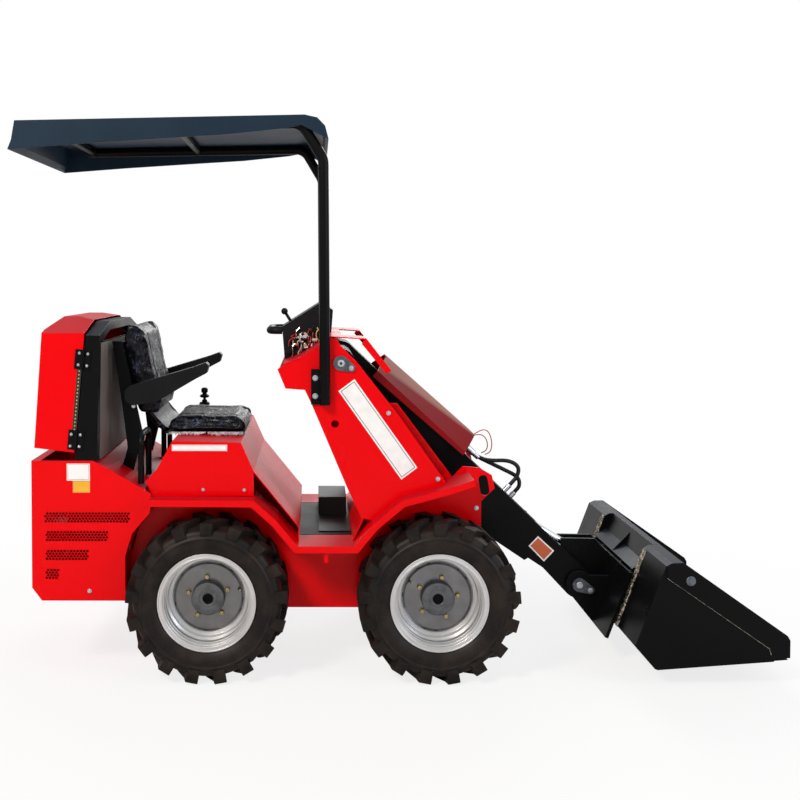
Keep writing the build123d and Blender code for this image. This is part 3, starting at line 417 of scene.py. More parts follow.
def wheelPaint():
    # aluminium-flake silver paint on the pressed wheels: bright on the rim, a darker grey in the dish
    material, tree, where = newMaterial("wheelSilverPaint")
    split = addNode(tree, "SeparateXYZ", {0: where}).outputs
    halfBase = (frontAxle.x - rearAxle.x) / 2
    along = figure(tree, "ABSOLUTE", figure(tree, "SUBTRACT", split[0], rearAxle.x + halfBase))
    flat = fromNode(tree, "CombineXYZ", {0: figure(tree, "SUBTRACT", along, halfBase),
                                                  1: figure(tree, "SUBTRACT", split[2], rearAxle.z)})
    radius = fromNode(tree, "VectorMath", {0: flat}, operation="LENGTH", output="Value")
    dish = spread(tree, radius, 0.122, 0.132, 1.0, 0.0)
    rim = blendColour(tree, mottle(tree, where, 90), "#dcdcde", "#bdbcba")
    deep = blendColour(tree, mottle(tree, where, 60), "#85868a", "#5d5b5a")
    endMaterial(tree, {
        "Base Color": blendColour(tree, dish, rim, deep), "Roughness": spread(tree, dish, 0.0, 1.0, 0.34, 0.24),
        "Normal": bumped(tree, mottle(tree, where, 3, 2.0), 0.15, 0.2, softEdge(tree, 2.5)), "Metallic": 0.9})
    return material


wheelSilver = wheelPaint()
# blackened cast-iron hub plates, oiled at the factory
hubIron = metal("hubCastIron", "#626467", "#4a4b4d", cloud=30, rough=0.42, edge=1.0, grit=2, metallic=0.8)
# bright zinc plating on bolts, pins and lock plates
brightZinc = metal("brightZincPlate", "#c9cdd2", "#aab0b8", cloud=12, rough=0.28, edge=0.5, grit=1.5)
# thick zinc on the pin lock plates, dulled by handling
lockZinc = metal("dulledZincPlate", "#6a6f75", "#45494f", cloud=14, rough=0.38, edge=1.0, grit=1.5)
# yellow-passivated zinc of the wheel nuts
yellowZinc = metal("yellowZincPlate", "#b3a070", "#807b62", cloud=8, rough=0.30, edge=0.5, grit=1.5)
# hard chrome on the cylinder rods
hardChrome = metal("hardChrome", "#d6d8da", "#c8cbcf", cloud=60, rough=0.12, edge=0.3, grit=2)
# weld metal mottled pale tan and dark brown; the pale spots paint sunlight glinting on the bead
flakedWeld = metal("flakedWeld", "#c9c0b0", "#4a3d30", cloud=14, rough=0.62, edge=0.3, grit=2, metallic=0.1)


def rubber(name, tint, dustTint, patch, dust, skin, relief, depth, rough, gloss, ribs=None):
    # vulcanised rubber: matt, brownish where dust sits, with a fine moulded skin
    material, tree, where = newMaterial(name)
    patch = mottle(tree, where, patch, 6.0)
    bump = bumped(tree, mottle(tree, where, skin, 3.0), relief, depth)
    if ribs:
        # fine radial ribs between two moulded rings, read from the piece's own map of turns and metres
        split = addNode(tree, "SeparateXYZ", {
            0: fromNode(tree, "UVMap", uv_map="aroundAcross")}).outputs
        wave = figure(tree, "SINE", figure(tree, "MULTIPLY", split[0], 2 * pi * ribs))
        band = figure(tree, "MULTIPLY", spread(tree, split[1], 0.198, 0.203, 0.0, 1.0),
                      spread(tree, split[1], 0.216, 0.220, 1.0, 0.0))
        bump = bumped(tree, figure(tree, "MULTIPLY", wave, band), 0.6, 0.8, bump)
    dust = spread(tree, patch, 0.38, 0.68, 0.0, dust)
    endMaterial(tree, {"Base Color": blendColour(tree, dust, tint, dustTint), "Normal": bump,
                       "Roughness": rough, "Specular IOR Level": gloss})
    return material


# tread and side wall of the tyres, and the sheath of the hoses
treadRubber = rubber("treadRubber", "#141211", "#342b25",
    patch=70, dust=0.6, skin=5, relief=0.35, depth=0.5, rough=0.55, gloss=0.12)
hoseRubber = rubber("hoseRubber", "#101012", "#232222",
    patch=60, dust=0.5, skin=3, relief=0.35, depth=0.5, rough=0.42, gloss=0.25)
sidewallRubber = rubber("sidewallRubber", "#141110", "#2f2723",
    patch=70, dust=0.7, skin=5, relief=0.3, depth=0.4, rough=0.45, gloss=0.14, ribs=190)


def wrappedVinyl():
    # black seat vinyl still in its clear factory film: the film's creases are the coat's own bump
    material, tree, where = newMaterial("vinylUnderFilm")
    pulled = fromNode(tree, "VectorMath", {0: where, 1: (1.0, 0.45, 0.7)}, operation="MULTIPLY")
    fold = fromNode(tree, "TexNoise", {"Vector": pulled, "Scale": 26.0, "Detail": 3.0,
                                                "Distortion": 1.4}, output="Fac")
    # folds are narrow ridges where the noise crosses its middle
    ridge = figure(tree, "ABSOLUTE", figure(tree, "SUBTRACT", fold, 0.5))
    # the fold ridges are painted pale blue, partly the film's milky creases and partly a painted reflection of the
    # sky
    milkAndSheen = figure(tree, "MULTIPLY", spread(tree, ridge, 0.0, 0.035, 1.0, 0.0),
                  spread(tree, mottle(tree, where, 55), 0.5, 0.65, 0.0, 1.0))
    endMaterial(tree, {
        "Base Color": blendColour(tree, spread(tree, milkAndSheen, 0.0, 1.0, 0.0, 0.75), "#07080f", "#6f7fa6"),
        "Normal": bumped(tree, mottle(tree, where, 3, 2.0), 0.2, 0.4), "Roughness": 0.45,
        "Specular IOR Level": 0.1, "Coat Weight": 0.14, "Coat Roughness": 0.1,
        "Coat Normal": bumped(tree, fold, 1.0, 16)})
    return material


def thinFilm():
    # clear packing film, milky where it folds
    material, tree, where = newMaterial("tornPackingFilm")
    milky = spread(tree, mottle(tree, where, 14), 0.4, 0.65, 0.25, 0.85)
    endMaterial(tree, {"Base Color": "#d8d4dc", "Roughness": 0.2, "Alpha": milky})
    return material


def printedVinyl(name, tint, second):
    # a stuck-on vinyl label, slightly mottled under its laminate
    material, tree, where = newMaterial(name)
    colour = blendColour(tree, spread(tree, mottle(tree, where, 40), 0.4, 0.7, 0.0, 0.5), tint, second)
    endMaterial(tree, {"Base Color": colour, "Roughness": 0.38, "Coat Weight": 0.3, "Coat Roughness": 0.1})
    return material


filmedVinyl = wrappedVinyl()
tornFilm = thinFilm()
whiteLabel = printedVinyl("whiteVinylLabel", "#f3f1f0", "#dddbe0")
yellowLabel = printedVinyl("yellowVinylLabel", "#f2b211", "#dd9d10")
orangeLabel = printedVinyl("orangeVinylLabel", "#c2571c", "#a4481a")
blackLine = printedVinyl("blackVinylLine", "#161616", "#222222")
borderGrey = printedVinyl("greyVinylLine", "#9a9aa4", "#7d7d88")
redWire = printedVinyl("redWireSheath", "#a81414", "#7d1010")
whiteWire = printedVinyl("whiteWireSheath", "#c4bbae", "#9a8f82")
yellowWire = printedVinyl("yellowWireSheath", "#c9a94e", "#a98b3c")
darkGap = printedVinyl("shadowedGap", "#060606", "#0a0a0a")

finishes = {
    redPowderCoat: ["chassis_frame", "fenders", "tower_sides", "tower_shield", "tower_hood", "seat_console",
                    "engine_bay", "vent_screens", "engine_hood"],
    blackPowderCoat: ["floor_plate", "seat_frame", "grab_hoops", "engine", "hood_pillars", "hood_crossbar",
                      "hood_screen", "hinge_leaves", "canopy_posts", "canopy_cross_tubes", "axle_hubs",
                      "hinge_knuckles", "boom", "lift_barrel", "tilt_barrel", "coupler", "bucket", "cutting_edge"],
    gripPlastic: ["foot_rest", "dash_console", "dash_controls", "joystick", "armrest_right", "armrest_left"],
    roofPlastic: ["canopy_roof"],
    dustyRedCoat: ["boom_cowl"],
    lockZinc: ["frame_pins"],
    brightZinc: ["armrest_pins", "hose_fittings"],
    greyPrimer: ["firewall"],
    hoseRubber: ["boom_hoses", "loom_wires"],
    hardChrome: ["lift_rod", "tilt_rod"],
    wheelSilver: ["wheel_front_right", "wheel_front_left", "wheel_rear_right", "wheel_rear_left"]}
for finish, names in finishes.items():
    for name in names:
        for index in range(len(nodes[name].data.materials)):
            nodes[name].data.materials[index] = finish
print("finishes on the frame")

# ---- tyres

tyre = {"lugs": 17, "tip": 285.5, "steps": 136, "sharp": 38}
# half section from the bead outwards and up to the crown: across, radius
tyreSection = [
    (84, 162), (88, 171), (93, 176), (100, 186), (105, 198), (106, 201), (107, 217), (106.4, 222), (107.4, 224.5),
    (109.2, 227), (109.2, 230), (107.2, 232.5), (104.5, 236), (103, 243), (99, 252), (91, 258), (74, 261.5),
    (40, 263.5), (0, 264)]
# one lug from its foot on the shoulder to its inner end: across, top radius, shift round, half width, depth
lugStations = [
    (104.5, 238, 0, 21, 8), (109.0, 252, 0, 22, 16), (109.0, 272, 0, 22.5, 26), (106.5, 283.5, 1, 22.5, 34),
    (94.0, 284.8, 4, 22, 28), (72.0, 284.9, 10, 21, 27), (50.0, 285.0, 26, 19.5, 27), (26.0, 285.0, 44, 18, 27),
    (4.0, 285.0, 58, 16.5, 27)]
# the lug's sides flare at the foot and its edges are rounded; over the shoulder the foot tucks in
lugEdge = {"flare": 2.5, "round": 1.5, "flat": 2, "shoulder": 100, "tuck": 6}


def lugRing():
    # the seed pair of lugs repeated round the axle
    tree, inputs = newTree("lugRing", [("Count", "Int"), ("Rubber", "Material")])
    row = fromNode(tree, "MeshLine", {"Count": inputs["Count"], "Offset": (0, 0, 0)})
    turn = figure(tree, "DIVIDE", 2 * pi, inputs["Count"])
    angle = figure(tree, "MULTIPLY", fromNode(tree, "InputIndex"), turn)
    spin = fromNode(tree, "ShaderNodeCombineXYZ", {1: angle})
    ring = fromNode(tree, "InstanceOnPoints", {"Points": row, "Instance": inputs["Geometry"],
                                                          "Rotation": spin})
    return endTree(tree, ring, inputs["Rubber"])


def lugSeed():
    # one lug for each side, half a pitch apart
    bodies = []
    for side, phase in ((1, 0.0), (-1, pi / tyre["lugs"])):
        bodies.append([])
        for across, top, shift, half, depth in lugStations:
            profile = [(half + lugEdge["flare"], depth), (half, lugEdge["round"]), (half - lugEdge["flat"], 0)]
            loop = []
            for edge, drop in [(-e, d) for e, d in profile] + profile[::-1]:
                angle = phase + (shift + edge) / tyre["tip"]
                tucked = across - lugEdge["tuck"] if drop == depth and across > lugEdge["shoulder"] else across
                loop.append(Vector(((top - drop) * sin(angle), side * tucked, (top - drop) * cos(angle))) * mm)
            bodies[-1].append(loop)
    return loft("lugSeed", bodies)


def ringFrom(section, steps, name, material, mapName=None):
    # a closed section of (across, radius) in millimetres turned about Y
    count = len(section)
    vertices, faces = [], []
    for step in range(steps):
        angle = 2 * pi * step / steps
        after = (step + 1) % steps
        vertices += [(r * mm * sin(angle), y * mm, r * mm * cos(angle)) for y, r in section]
        for i in range(count):
            j = (i + 1) % count
            faces.append((step * count + i, after * count + i, after * count + j, step * count + j))
    piece = newMesh(name, vertices, faces, material)
    if mapName:
        # the map holds turns round the axle and the radius in metres
        layer = piece.data.uv_layers.new(name=mapName)
        for face in piece.data.polygons:
            angles = []
            for loop in face.loop_indices:
                point = piece.data.vertices[piece.data.loops[loop].vertex_index].co
                angles.append((loop, atan2(point.x, point.z) / (2 * pi), hypot(point.x, point.z)))
            top = max(a for _, a, _ in angles)
            for loop, a, radius in angles:
                layer.data[loop].uv = (a + 1 if top - a > 0.5 else a, radius)
    return piece


def ontoWheel(piece, centre, side, sharp):
    # moved from the axle's own frame to its wheel, and mirrored for its side
    piece.data.transform(Matrix.Translation(centre) @ Matrix.Diagonal((1, side, 1, 1)))
    return finished(piece, sharp)


lugTree = lugRing()
wheels = {end + side: (axle.x, across) for end, axle in (("front", frontAxle), ("rear", rearAxle))
          for side, across in (("_right", -1), ("_left", 1))}
tyreAcross = (tyreLow.y + tyreHigh.y) / 2
for key, (x, side) in wheels.items():
    name = "tyre" + key.title().replace("_", "")
    wall = ringFrom(tyreSection + [(-y, r) for y, r in tyreSection[-2::-1]], tyre["steps"], name + "Wall",
                    sidewallRubber, "aroundAcross")
    lugs = runNodes(lugSeed(), lugTree, {"Count": tyre["lugs"], "Rubber": treadRubber})
    # the tread points the same way on both sides of the machine
    centre = Vector((x, -side * tyreAcross, rearAxle.z))
    piece = ontoWheel(joined(name, [wall, lugs]), centre, side, tyre["sharp"])
    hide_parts("tyre_" + key)
    place(piece, key + "_wheel")
print("tyres made")

# ---- wheel centres: hub plate, nuts, valve, rolled steps and the gaps round the disc

# nut circle's radius, and where the first nut and the valve stand, in degrees up from forward
hub = {"nutCircle": 73, "nuts": 5, "nutSize": 0.85, "turn": {"front": 78, "rear": 94},
       "valve": {"front": 151, "rear": 15}, "rimDepth": 80, "steps": 64, "rimSteps": 96, "sharp": 35}
# the valve's foot and tip radius, its height, stem and cap radius, and where the cap starts
valve = {"foot": 113, "tip": 118, "height": 30, "stem": 5.5, "cap": 3.9, "capFrom": 0.68, "stemTo": 0.7}
# slots at the disc's scalloped edge: radii and depths of the two edges, bow, half turn and thickness
discSlot = {"outer": 127, "outerDepth": 5.9, "inner": 121, "innerDepth": 2.2, "bow": 1.8, "turn": 26, "steps": 12,
            "thick": 1.2}
# rolled steps of the rim: nearest and furthest along the axle from the disc, inner and outer radius
rimSteps = [(79.8, 83.0, 168.0, 173.0), (79.8, 81.8, 156.0, 160.5), (64, 69, 151.0, 155.4),
            (47, 52, 147.5, 155.4), (34, 37, 143.0, 155.2)]
# section of the machined plate over the hub, measured out from the disc's face: along the axle, radius
hubSection = [(2, 57.2), (2, 59), (27, 59), (31, 56.5), (31.6, 55), (31.6, 33), (30.6, 32), (30.6, 31), (31.6, 30),
              (31.6, 21), (30, 19.4), (29, 19.4), (29, 57.2)]


def hexBolt(name, across, height, washer, thick=1.6):
    # one washer and a chamfered hexagon head standing on z = 0, in millimetres
    wide, chamfer = across * 0.58, across * 0.48
    head = [circle(wide, thick, 6), circle(wide, height * 0.82, 6), circle(chamfer, height, 6)]
    return loft(name, [[circle(washer, 0, 16), circle(washer, thick, 16)], head])


def boltSpread():
    # a fastener on every point, facing along the point's own direction and scaled by its size
    tree, inputs = newTree("boltSpread", [("Fastener", "Object"), ("Plating", "Material")])
    seed = fromNode(tree, "ObjectInfo", {"Object": inputs["Fastener"]}, output="Geometry")
    facing = fromNode(tree, "InputNamedAttribute", {"Name": "facing"},
                     data_type="FLOAT_VECTOR")
    size = fromNode(tree, "InputNamedAttribute", {"Name": "size"}, data_type="FLOAT")
    turn = fromNode(tree, "FunctionNodeAlignRotationToVector", {"Vector": facing}, axis="Z")
    points = fromNode(tree, "MeshToPoints", {"Mesh": inputs["Geometry"]})
    heads = fromNode(tree, "InstanceOnPoints", {"Points": points, "Instance": seed, "Rotation": turn,
                                                           "Scale": size})
    return endTree(tree, heads, inputs["Plating"])


boltTree = boltSpread()
hexHead = hexBolt("hexHead", 17, 11, 12)
wheelNut = hexBolt("wheelNut", 19, 16, 11)


def fasteners(name, rows, seed, plating, body):
    # rows of place, direction and size
    mesh = bpy.data.meshes.new(name)
    mesh.from_pydata([tuple(r[0]) for r in rows], [], [])
    mesh.attributes.new("facing", "FLOAT_VECTOR", "POINT")
    mesh.attributes.new("size", "FLOAT", "POINT")
    mesh.attributes["facing"].data.foreach_set("vector", [c for row in rows for c in row[1]])
    mesh.attributes["size"].data.foreach_set("value", [row[2] for row in rows])
    piece = runNodes(newObject(name, mesh), boltTree, {"Fastener": seed, "Plating": plating})
    return place(finished(piece, 30), body)


def around(centre, radius, degreesUp, y):
    # a place at an angle round an axle, level with y
    turn = radians(degreesUp)
    return Vector((centre.x + radius * mm * cos(turn), y * mm, centre.z + radius * mm * sin(turn)))


for key, (x, side) in wheels.items():
    end = key.split("_")[0]
    body, label = key + "_wheel", key.title().replace("_", "")
    centre = Vector((x, 0, rearAxle.z))
    low, high = boxOf("wheel_" + key)
    disc = (low.y if side < 0 else high.y) / mm - side * hub["rimDepth"]
    pitch = 360 / hub["nuts"]
    turns = [hub["turn"][end] + pitch * i for i in range(hub["nuts"])]
    nuts = [(around(centre, hub["nutCircle"], turn, disc), (0, side, 0), hub["nutSize"]) for turn in turns]
    fasteners("nuts" + label, nuts, wheelNut, yellowZinc, body)
    section = [(disc * side + along, r) for along, r in hubSection]
    plate = ringFrom(section, hub["steps"], "hubPlate" + label, hubIron)
    place(ontoWheel(plate, centre, side, hub["sharp"]), body)
    fasteners("axleNut" + label, [(around(centre, 0, 0, disc + side), (0, side, 0), hub["nutSize"])], hexHead,
              hubIron, body)
    # rubber valve stem standing out of the disc beside the rim, with its brass cap
    foot = around(centre, valve["foot"], hub["valve"][end], disc)
    tip = around(centre, valve["tip"], hub["valve"][end], disc + side * valve["height"])
    stem = roundBar("stem", foot, foot.lerp(tip, valve["stemTo"]), valve["stem"], hoseRubber, 14, 1.2)
    cap = roundBar("cap", foot.lerp(tip, valve["capFrom"]), tip, valve["cap"], yellowZinc, 12, 0.8)
    place(joined("valve" + label, [stem, cap]), body)
    # near-black sheets where the disc's edge is scalloped between its welds, painting the shade in those gaps
    slots, half = [], discSlot["steps"] / 2
    for turn in turns:
        front = []
        for edge, bow in (("outer", -discSlot["bow"]), ("inner", discSlot["bow"])):
            y = disc - side * discSlot[edge + "Depth"]
            row = [around(centre, discSlot[edge] + bow * abs(k - half) / half,
                          turn + pitch / 2 + discSlot["turn"] * (k - half) / (2 * half), y)
                   for k in range(discSlot["steps"] + 1)]
            front += row if edge == "outer" else row[::-1]
        back = [p - Vector((0, side * discSlot["thick"] * mm, 0)) for p in front]
        slots.append(loft("slot", [[front, back]], darkGap))
    place(joined("discSlots" + label, slots), body)
    # rolled steps of the rim, from the flange's bead down into the barrel
    steps = []
    for near, far, low, high in rimSteps:
        ring = [(near, low + 1), (near, high), (far, high), (far, low + 1), (far - 1, low), (near + 1, low)]
        ring = [(disc * side + along, r) for along, r in ring]
        steps.append(ringFrom(ring, hub["rimSteps"], "rimStep", wheelSilver))
    rolled = ontoWheel(joined("rimSteps" + label, steps), centre, side, hub["sharp"])
    place(rolled, body)
print("wheel centres finished")

# ---- perforated vents in the engine bay's sides

vents = {"back": -588, "hole": 9.0, "column": 11.6, "row": 9.4, "rows": 4, "wall": 2.0, "lap": 1.0, "edge": 4,
         "sunk": 0.4, "sides": 14}
# front end, lowest and highest edge of each window
ventWindows = [(-278.7, 546, 588), (-352.2, 480, 520), (-422.7, 412, 452), (-529, 344, 384)]


def perforation():
    # a sheet with staggered round holes, lying flat and centred, then thickened
    tree, inputs = newTree("perforation", [
        ("Length", "Float"), ("Height", "Float"), ("Hole", "Float"), ("Column Pitch", "Float"),
        ("Row Pitch", "Float"), ("Columns", "Int"), ("Rows", "Int"), ("Wall", "Float"), ("Paint", "Material")])

    def together(*parts):
        whole = addNode(tree, "JoinGeometry")
        for part in parts:
            tree.links.new(part, whole.inputs[0])
        return whole.outputs[0]

    outline = fromNode(tree, "CurvePrimitiveQuadrilateral", {
        "Width": inputs["Length"], "Height": inputs["Height"]})
    wide = figure(tree, "MULTIPLY", figure(tree, "SUBTRACT", inputs["Columns"], 1.0), inputs["Column Pitch"])
    tall = figure(tree, "MULTIPLY", figure(tree, "SUBTRACT", inputs["Rows"], 1.0), inputs["Row Pitch"])
    grid = fromNode(tree, "MeshGrid", {"Size X": wide, "Size Y": tall, "Vertices X": inputs["Columns"],
                                                  "Vertices Y": inputs["Rows"]})
    row = figure(tree, "MODULO", fromNode(tree, "InputIndex"), inputs["Rows"])
    odd = figure(tree, "MODULO", row, 2.0)
    step = figure(tree, "MULTIPLY", figure(tree, "SUBTRACT", odd, 0.5),
                  figure(tree, "MULTIPLY", inputs["Column Pitch"], 0.5))
    offset = fromNode(tree, "ShaderNodeCombineXYZ", {0: step})
    staggered = fromNode(tree, "SetPosition", {"Geometry": grid, "Offset": offset})
    hole = fromNode(tree, "CurvePrimitiveCircle", {
        "Resolution": vents["sides"], "Radius": figure(tree, "MULTIPLY", inputs["Hole"], 0.5)})
    holes = fromNode(tree, "InstanceOnPoints", {"Points": staggered, "Instance": hole})
    holes = fromNode(tree, "RealizeInstances", {"Geometry": holes})
    sheet = fromNode(tree, "FillCurve", {"Curve": together(outline, holes)})
    top = fromNode(tree, "ExtrudeMesh", {"Mesh": sheet, "Offset Scale": inputs["Wall"],
                                                    "Individual": False})
    under = fromNode(tree, "FlipFaces", {"Mesh": sheet})
    welded = addNode(tree, "MergeByDistance", {"Geometry": together(top, under), "Distance": 1e-5})
    return endTree(tree, welded.outputs[0], inputs["Paint"])


perforationTree = perforation()
ventPieces = []
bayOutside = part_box("engine_bay")[1][1]
for side in (-1, 1):
    for front, low, high in ventWindows:
        length, height = front - vents["back"], high - low
        columns = int((length - vents["hole"] - vents["edge"]) / vents["column"] - 0.5) + 1
        strip = runNodes(newMesh("vent", [(0, 0, 0)], []), perforationTree, {
            "Length": (length + vents["lap"]) * mm, "Height": (height + vents["lap"]) * mm,
            "Hole": vents["hole"] * mm, "Column Pitch": vents["column"] * mm, "Row Pitch": vents["row"] * mm,
            "Columns": columns, "Rows": vents["rows"], "Wall": vents["wall"] * mm, "Paint": redPowderCoat})
        middle = spot((vents["back"] + front) / 2, 0, (low + high) / 2)
        middle.y = side * (bayOutside - (vents["wall"] + vents["sunk"]) * mm)
        faceOut = Matrix.Rotation(0 if side < 0 else pi, 4, "Z")
        strip.data.transform(Matrix.Translation(middle) @ faceOut @ Matrix.Rotation(pi / 2, 4, "X"))
        ventPieces.append(strip)
ventStrips = joined("ventStrips", ventPieces)
outward(ventStrips.data)
ventStrips.data.shade_flat()
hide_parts("vent_screens")
place(ventStrips, "chassis")
print("vents punched:", len(ventStrips.data.polygons), "faces")

# ---- bolts on the frame

# forward, across, up and size of each bolt on the chassis, the same on both sides
frameBolts = [(379, 403.2, 1064.8, 0.85), (379, 403.2, 1000.3, 0.85), (641, 395.2, 938.5, 0.7),
              (819, 395.2, 701.7, 0.7), (972.6, 292.2, 576, 0.7), (-22, 395.2, 662, 0.5), (125, 395.2, 661, 0.5),
              (-426, 420.2, 303, 0.65)]
frameBolts = [(spot(x, side * y, z), (0, side, 0), size) for side in (-1, 1) for x, y, z, size in frameBolts]
# bolts near both ends of the hood's hinges, following their lean: in from the ends, past the edge, up, size
hinge = {"in": (14, 56), "leaf": 28, "thick": 5.5, "size": 0.42,
         "past": {"hinge_leaves": 18, "hinge_knuckles": 10}}
hingeBolts = {}
for node, past in hinge["past"].items():
    low, high = boxOf(node)
    hingeBolts[node] = []
    for z in [low.z + step * mm for step in hinge["in"]] + [high.z - step * mm for step in hinge["in"]]:
        front = low.x + (high.x - low.x - hinge["leaf"] * mm) * (z - low.z) / (high.z - low.z)
        hingeBolts[node].append(((front + past * mm, low.y + hinge["thick"] * mm, z), right, hinge["size"]))
fasteners("frameBolts", frameBolts + hingeBolts["hinge_leaves"], hexHead, brightZinc, "chassis")
fasteners("hoodHingeBolts", hingeBolts["hinge_knuckles"], hexHead, brightZinc, "hood_door")
lockBolts = [(spot(508, side * 401.2, 1100), (0, side, 0), 0.75) for side in (-1, 1)]
fasteners("lockBolts", lockBolts, hexHead, brightZinc, "chassis")


def plateFrom(name, corners, y, thick, material):
    # a flat plate cut to corners (forward, up), standing thick millimetres out from a side face at y
    step = thick if y > 0 else -thick
    return loft(name, [[[spot(a, across, b) for a, b in corners] for across in (y, y + step)]], material)


def tearDrop(first, firstRadius, second, secondRadius, sides=20):
    # the outline round two circles
    gap = hypot(second[0] - first[0], second[1] - first[1])
    lean = atan2(second[1] - first[1], second[0] - first[0])
    opening = acos((firstRadius - secondRadius) / gap)
    outline = []
    for (cx, cz), r, start, end in ((first, firstRadius, opening, 2 * pi - opening),
                                    (second, secondRadius, -opening, opening)):
        turns = [lean + start + (end - start) * i / sides for i in range(sides + 1)]
        outline += [(cx + r * cos(a), cz + r * sin(a)) for a in turns]
    return outline


def pinHead(name, x, z, side, y, height, radius, material, sides=24):
    # a chamfered disc standing out from a side face at y
    return roundBar(name, spot(x, side * y, z), spot(x, side * (y + height), z), radius, material, sides, 1)


# lock plates over the coupler pin, each held by one bolt, and the boom pin's ends with their nipples
couplerBoltX, couplerBoltZ = 1438.7, 221.65
for side, label in ((-1, "Right"), (1, "Left")):
    outline = tearDrop((pinX, pinZ), 27, (couplerBoltX, couplerBoltZ), 15)
    lock = plateFrom("couplerLock" + label, outline, side * 116, 5, lockZinc)
    head = pinHead("head", pinX, pinZ, side, 120, 4, 13, brightZinc)
    place(joined("couplerLock" + label, [lock, head]), "tool")
    bolt = (spot(couplerBoltX, side * 121, couplerBoltZ), (0, side, 0), 0.8)
    fasteners("couplerBolt" + label, [bolt], hexHead, brightZinc, "tool")
    head = pinHead("head", pivotX, pivotZ, side, 400.5, 3.5, 13, brightZinc)
    nipple = pinHead("nipple", pivotX, pivotZ, side, 403.5, 3.5, 5, darkGap, 12)
    place(joined("boomPinHead" + label, [head, nipple]), "chassis")
print("bolts set")

# ---- blank labels on the right side

labelThick, lineThick = 0.5, 0.3


def framed(settings):
    # a label with a narrow border line a little inside its edge
    corners, y = [Vector(c) for c in settings["corners"]], settings["y"]

    def shrunk(by):
        sides = []
        for i in range(4):
            a, b, c = corners[i - 1], corners[i], corners[(i + 1) % 4]
            sides.append(b + ((a - b).normalized() + (c - b).normalized()) * by)
        return sides

    outer, inner = shrunk(settings["inset"]), shrunk(settings["inset"] + settings["width"])
    parts = [plateFrom("label", corners, y, labelThick, settings["paint"])]
    for i in range(4):
        j = (i + 1) % 4
        parts.append(plateFrom("line", [outer[i], outer[j], inner[j], inner[i]], y - labelThick, lineThick,
                               settings["line"]))
    return parts


chassisLabels = [
    {"corners": [(519.3, 1060.4), (745.3, 743), (687.9, 699.6), (462, 1017.4)], "y": -395.1, "paint": whiteLabel,
     "line": blackLine, "inset": 6, "width": 2},
    {"corners": [(-133.5, 802), (63.8, 802), (63.8, 824), (-133.5, 824)], "y": -395.1, "paint": whiteLabel,
     "line": borderGrey, "inset": 2.5, "width": 1.2},
    {"corners": [(-504.7, 699.4), (-422.7, 699.4), (-422.7, 760), (-504.7, 760)], "y": -420.1,
     "paint": whiteLabel, "line": borderGrey, "inset": 3, "width": 1.5},
    {"corners": [(-483.3, 656.7), (-422.7, 656.7), (-422.7, 699.2), (-483.3, 699.2)], "y": -420.1,
     "paint": yellowLabel, "line": borderGrey, "inset": 2.5, "width": 1.0}]
labelParts = [part for label in chassisLabels for part in framed(label)]
place(joined("chassisLabels", labelParts), "chassis")
place(joined("boomLabel", framed({
    "corners": [(1241.2, 424.9), (1304.5, 367), (1264.4, 324.6), (1204.2, 386.4)], "y": -90.1,
    "paint": orangeLabel, "line": whiteLabel, "inset": 0.5, "width": 5})), "lift_arm")
print("labels laid")

# ---- hoses and wires

cowlFront = 585


def onBoom(past, height, y):
    # past the cowl's front edge, over the boom's middle line, left
    return boomPivot + alongBoom * ((cowlFront + past) * mm) + overBoom * (height * mm) + Vector((0, y * mm, 0))


def smoothTube(name, points, radius, material):
    # a round tube on one smooth curve through its control points
    curve = bpy.data.curves.new(name, "CURVE")
    curve.dimensions = "3D"
    curve.bevel_depth = radius * mm
    curve.bevel_resolution = 4
    curve.use_fill_caps = True
    spline = curve.splines.new("NURBS")
    spline.points.add(len(points) - 1)
    for knot, point in zip(spline.points, points):
        knot.co = (*point, 1)
    spline.order_u = 3
    spline.use_endpoint_u = True
    spline.resolution_u = 10
    curve.materials.append(material)
    return finished(baked(newObject(name, curve)))


# stops of each hose and wire: past the cowl, over the boom, left
hoseRoutes = [
    [(55, 86, -41), (83, 87, -41), (123, 108, -42), (173, 160, -44), (221, 172, -44), (244, 140, -44),
     (245, 100, -44), (245, 61, -44)],
    [(55, 86, -13), (83, 86, -13), (127, 100, -14), (195, 122, -16), (255, 140, -16), (284, 118, -16),
     (285, 90, -16), (285, 61, -16)]]
wireRoutes = [
    [(1.9, 136, -62), (9, 172, -62), (31, 190, -60), (65, 176, -58), (91, 152, -54), (101, 128, -48),
     (91, 113, -44)],
    [(1.8, 130, -52), (19, 158, -52), (47, 164, -50), (75, 148, -48), (87, 124, -46), (77, 108, -43)]]
hose = {"radius": 8, "wire": 2.0, "band": 10.6, "waist": 9.6, "bands": 4, "bandShare": 0.75, "endShare": 0.85}


def crimped(start, end):
    # a crimped ferrule: bright bands with narrow waists
    parts = []
    for i in range(hose["bands"]):
        a, b, c = [start.lerp(end, (i + t) / hose["bands"]) for t in (0, hose["bandShare"], 1)]
        parts.append(roundBar("band", a, b, hose["band"], brightZinc, 20, 1.0))
        parts.append(roundBar("waist", b, c, hose["waist"], brightZinc, 20))
    return parts


hoseParts = []
for route in hoseRoutes:
    points = [onBoom(*stop) for stop in route]
    hoseParts.append(smoothTube("hose", points, hose["radius"], hoseRubber))
    hoseParts += crimped(points[0], points[1])
    hoseParts += crimped(points[-1], points[-1].lerp(points[-2], hose["endShare"]))
hoses = joined("boomHoses", hoseParts)
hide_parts("boom_hoses")
place(hoses, "lift_arm")
loom = joined("loomWires", [smoothTube("wire", [onBoom(*stop) for stop in route], hose["wire"], redWire)
                            for route in wireRoutes])
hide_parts("loom_wires")
place(loom, "lift_arm")

# loose wiring down the right side of the control housing, with its plugs
dashLoom = {"seed": 11, "wires": 26, "plugs": 18, "y": -151, "back": 278, "front": 400, "bends": 5, "tuck": 4}
wireCovers = [redWire, whiteWire, hoseRubber, yellowWire, hoseRubber, redWire]
plugCovers = [whiteWire, yellowWire, gripPlastic, brightZinc]


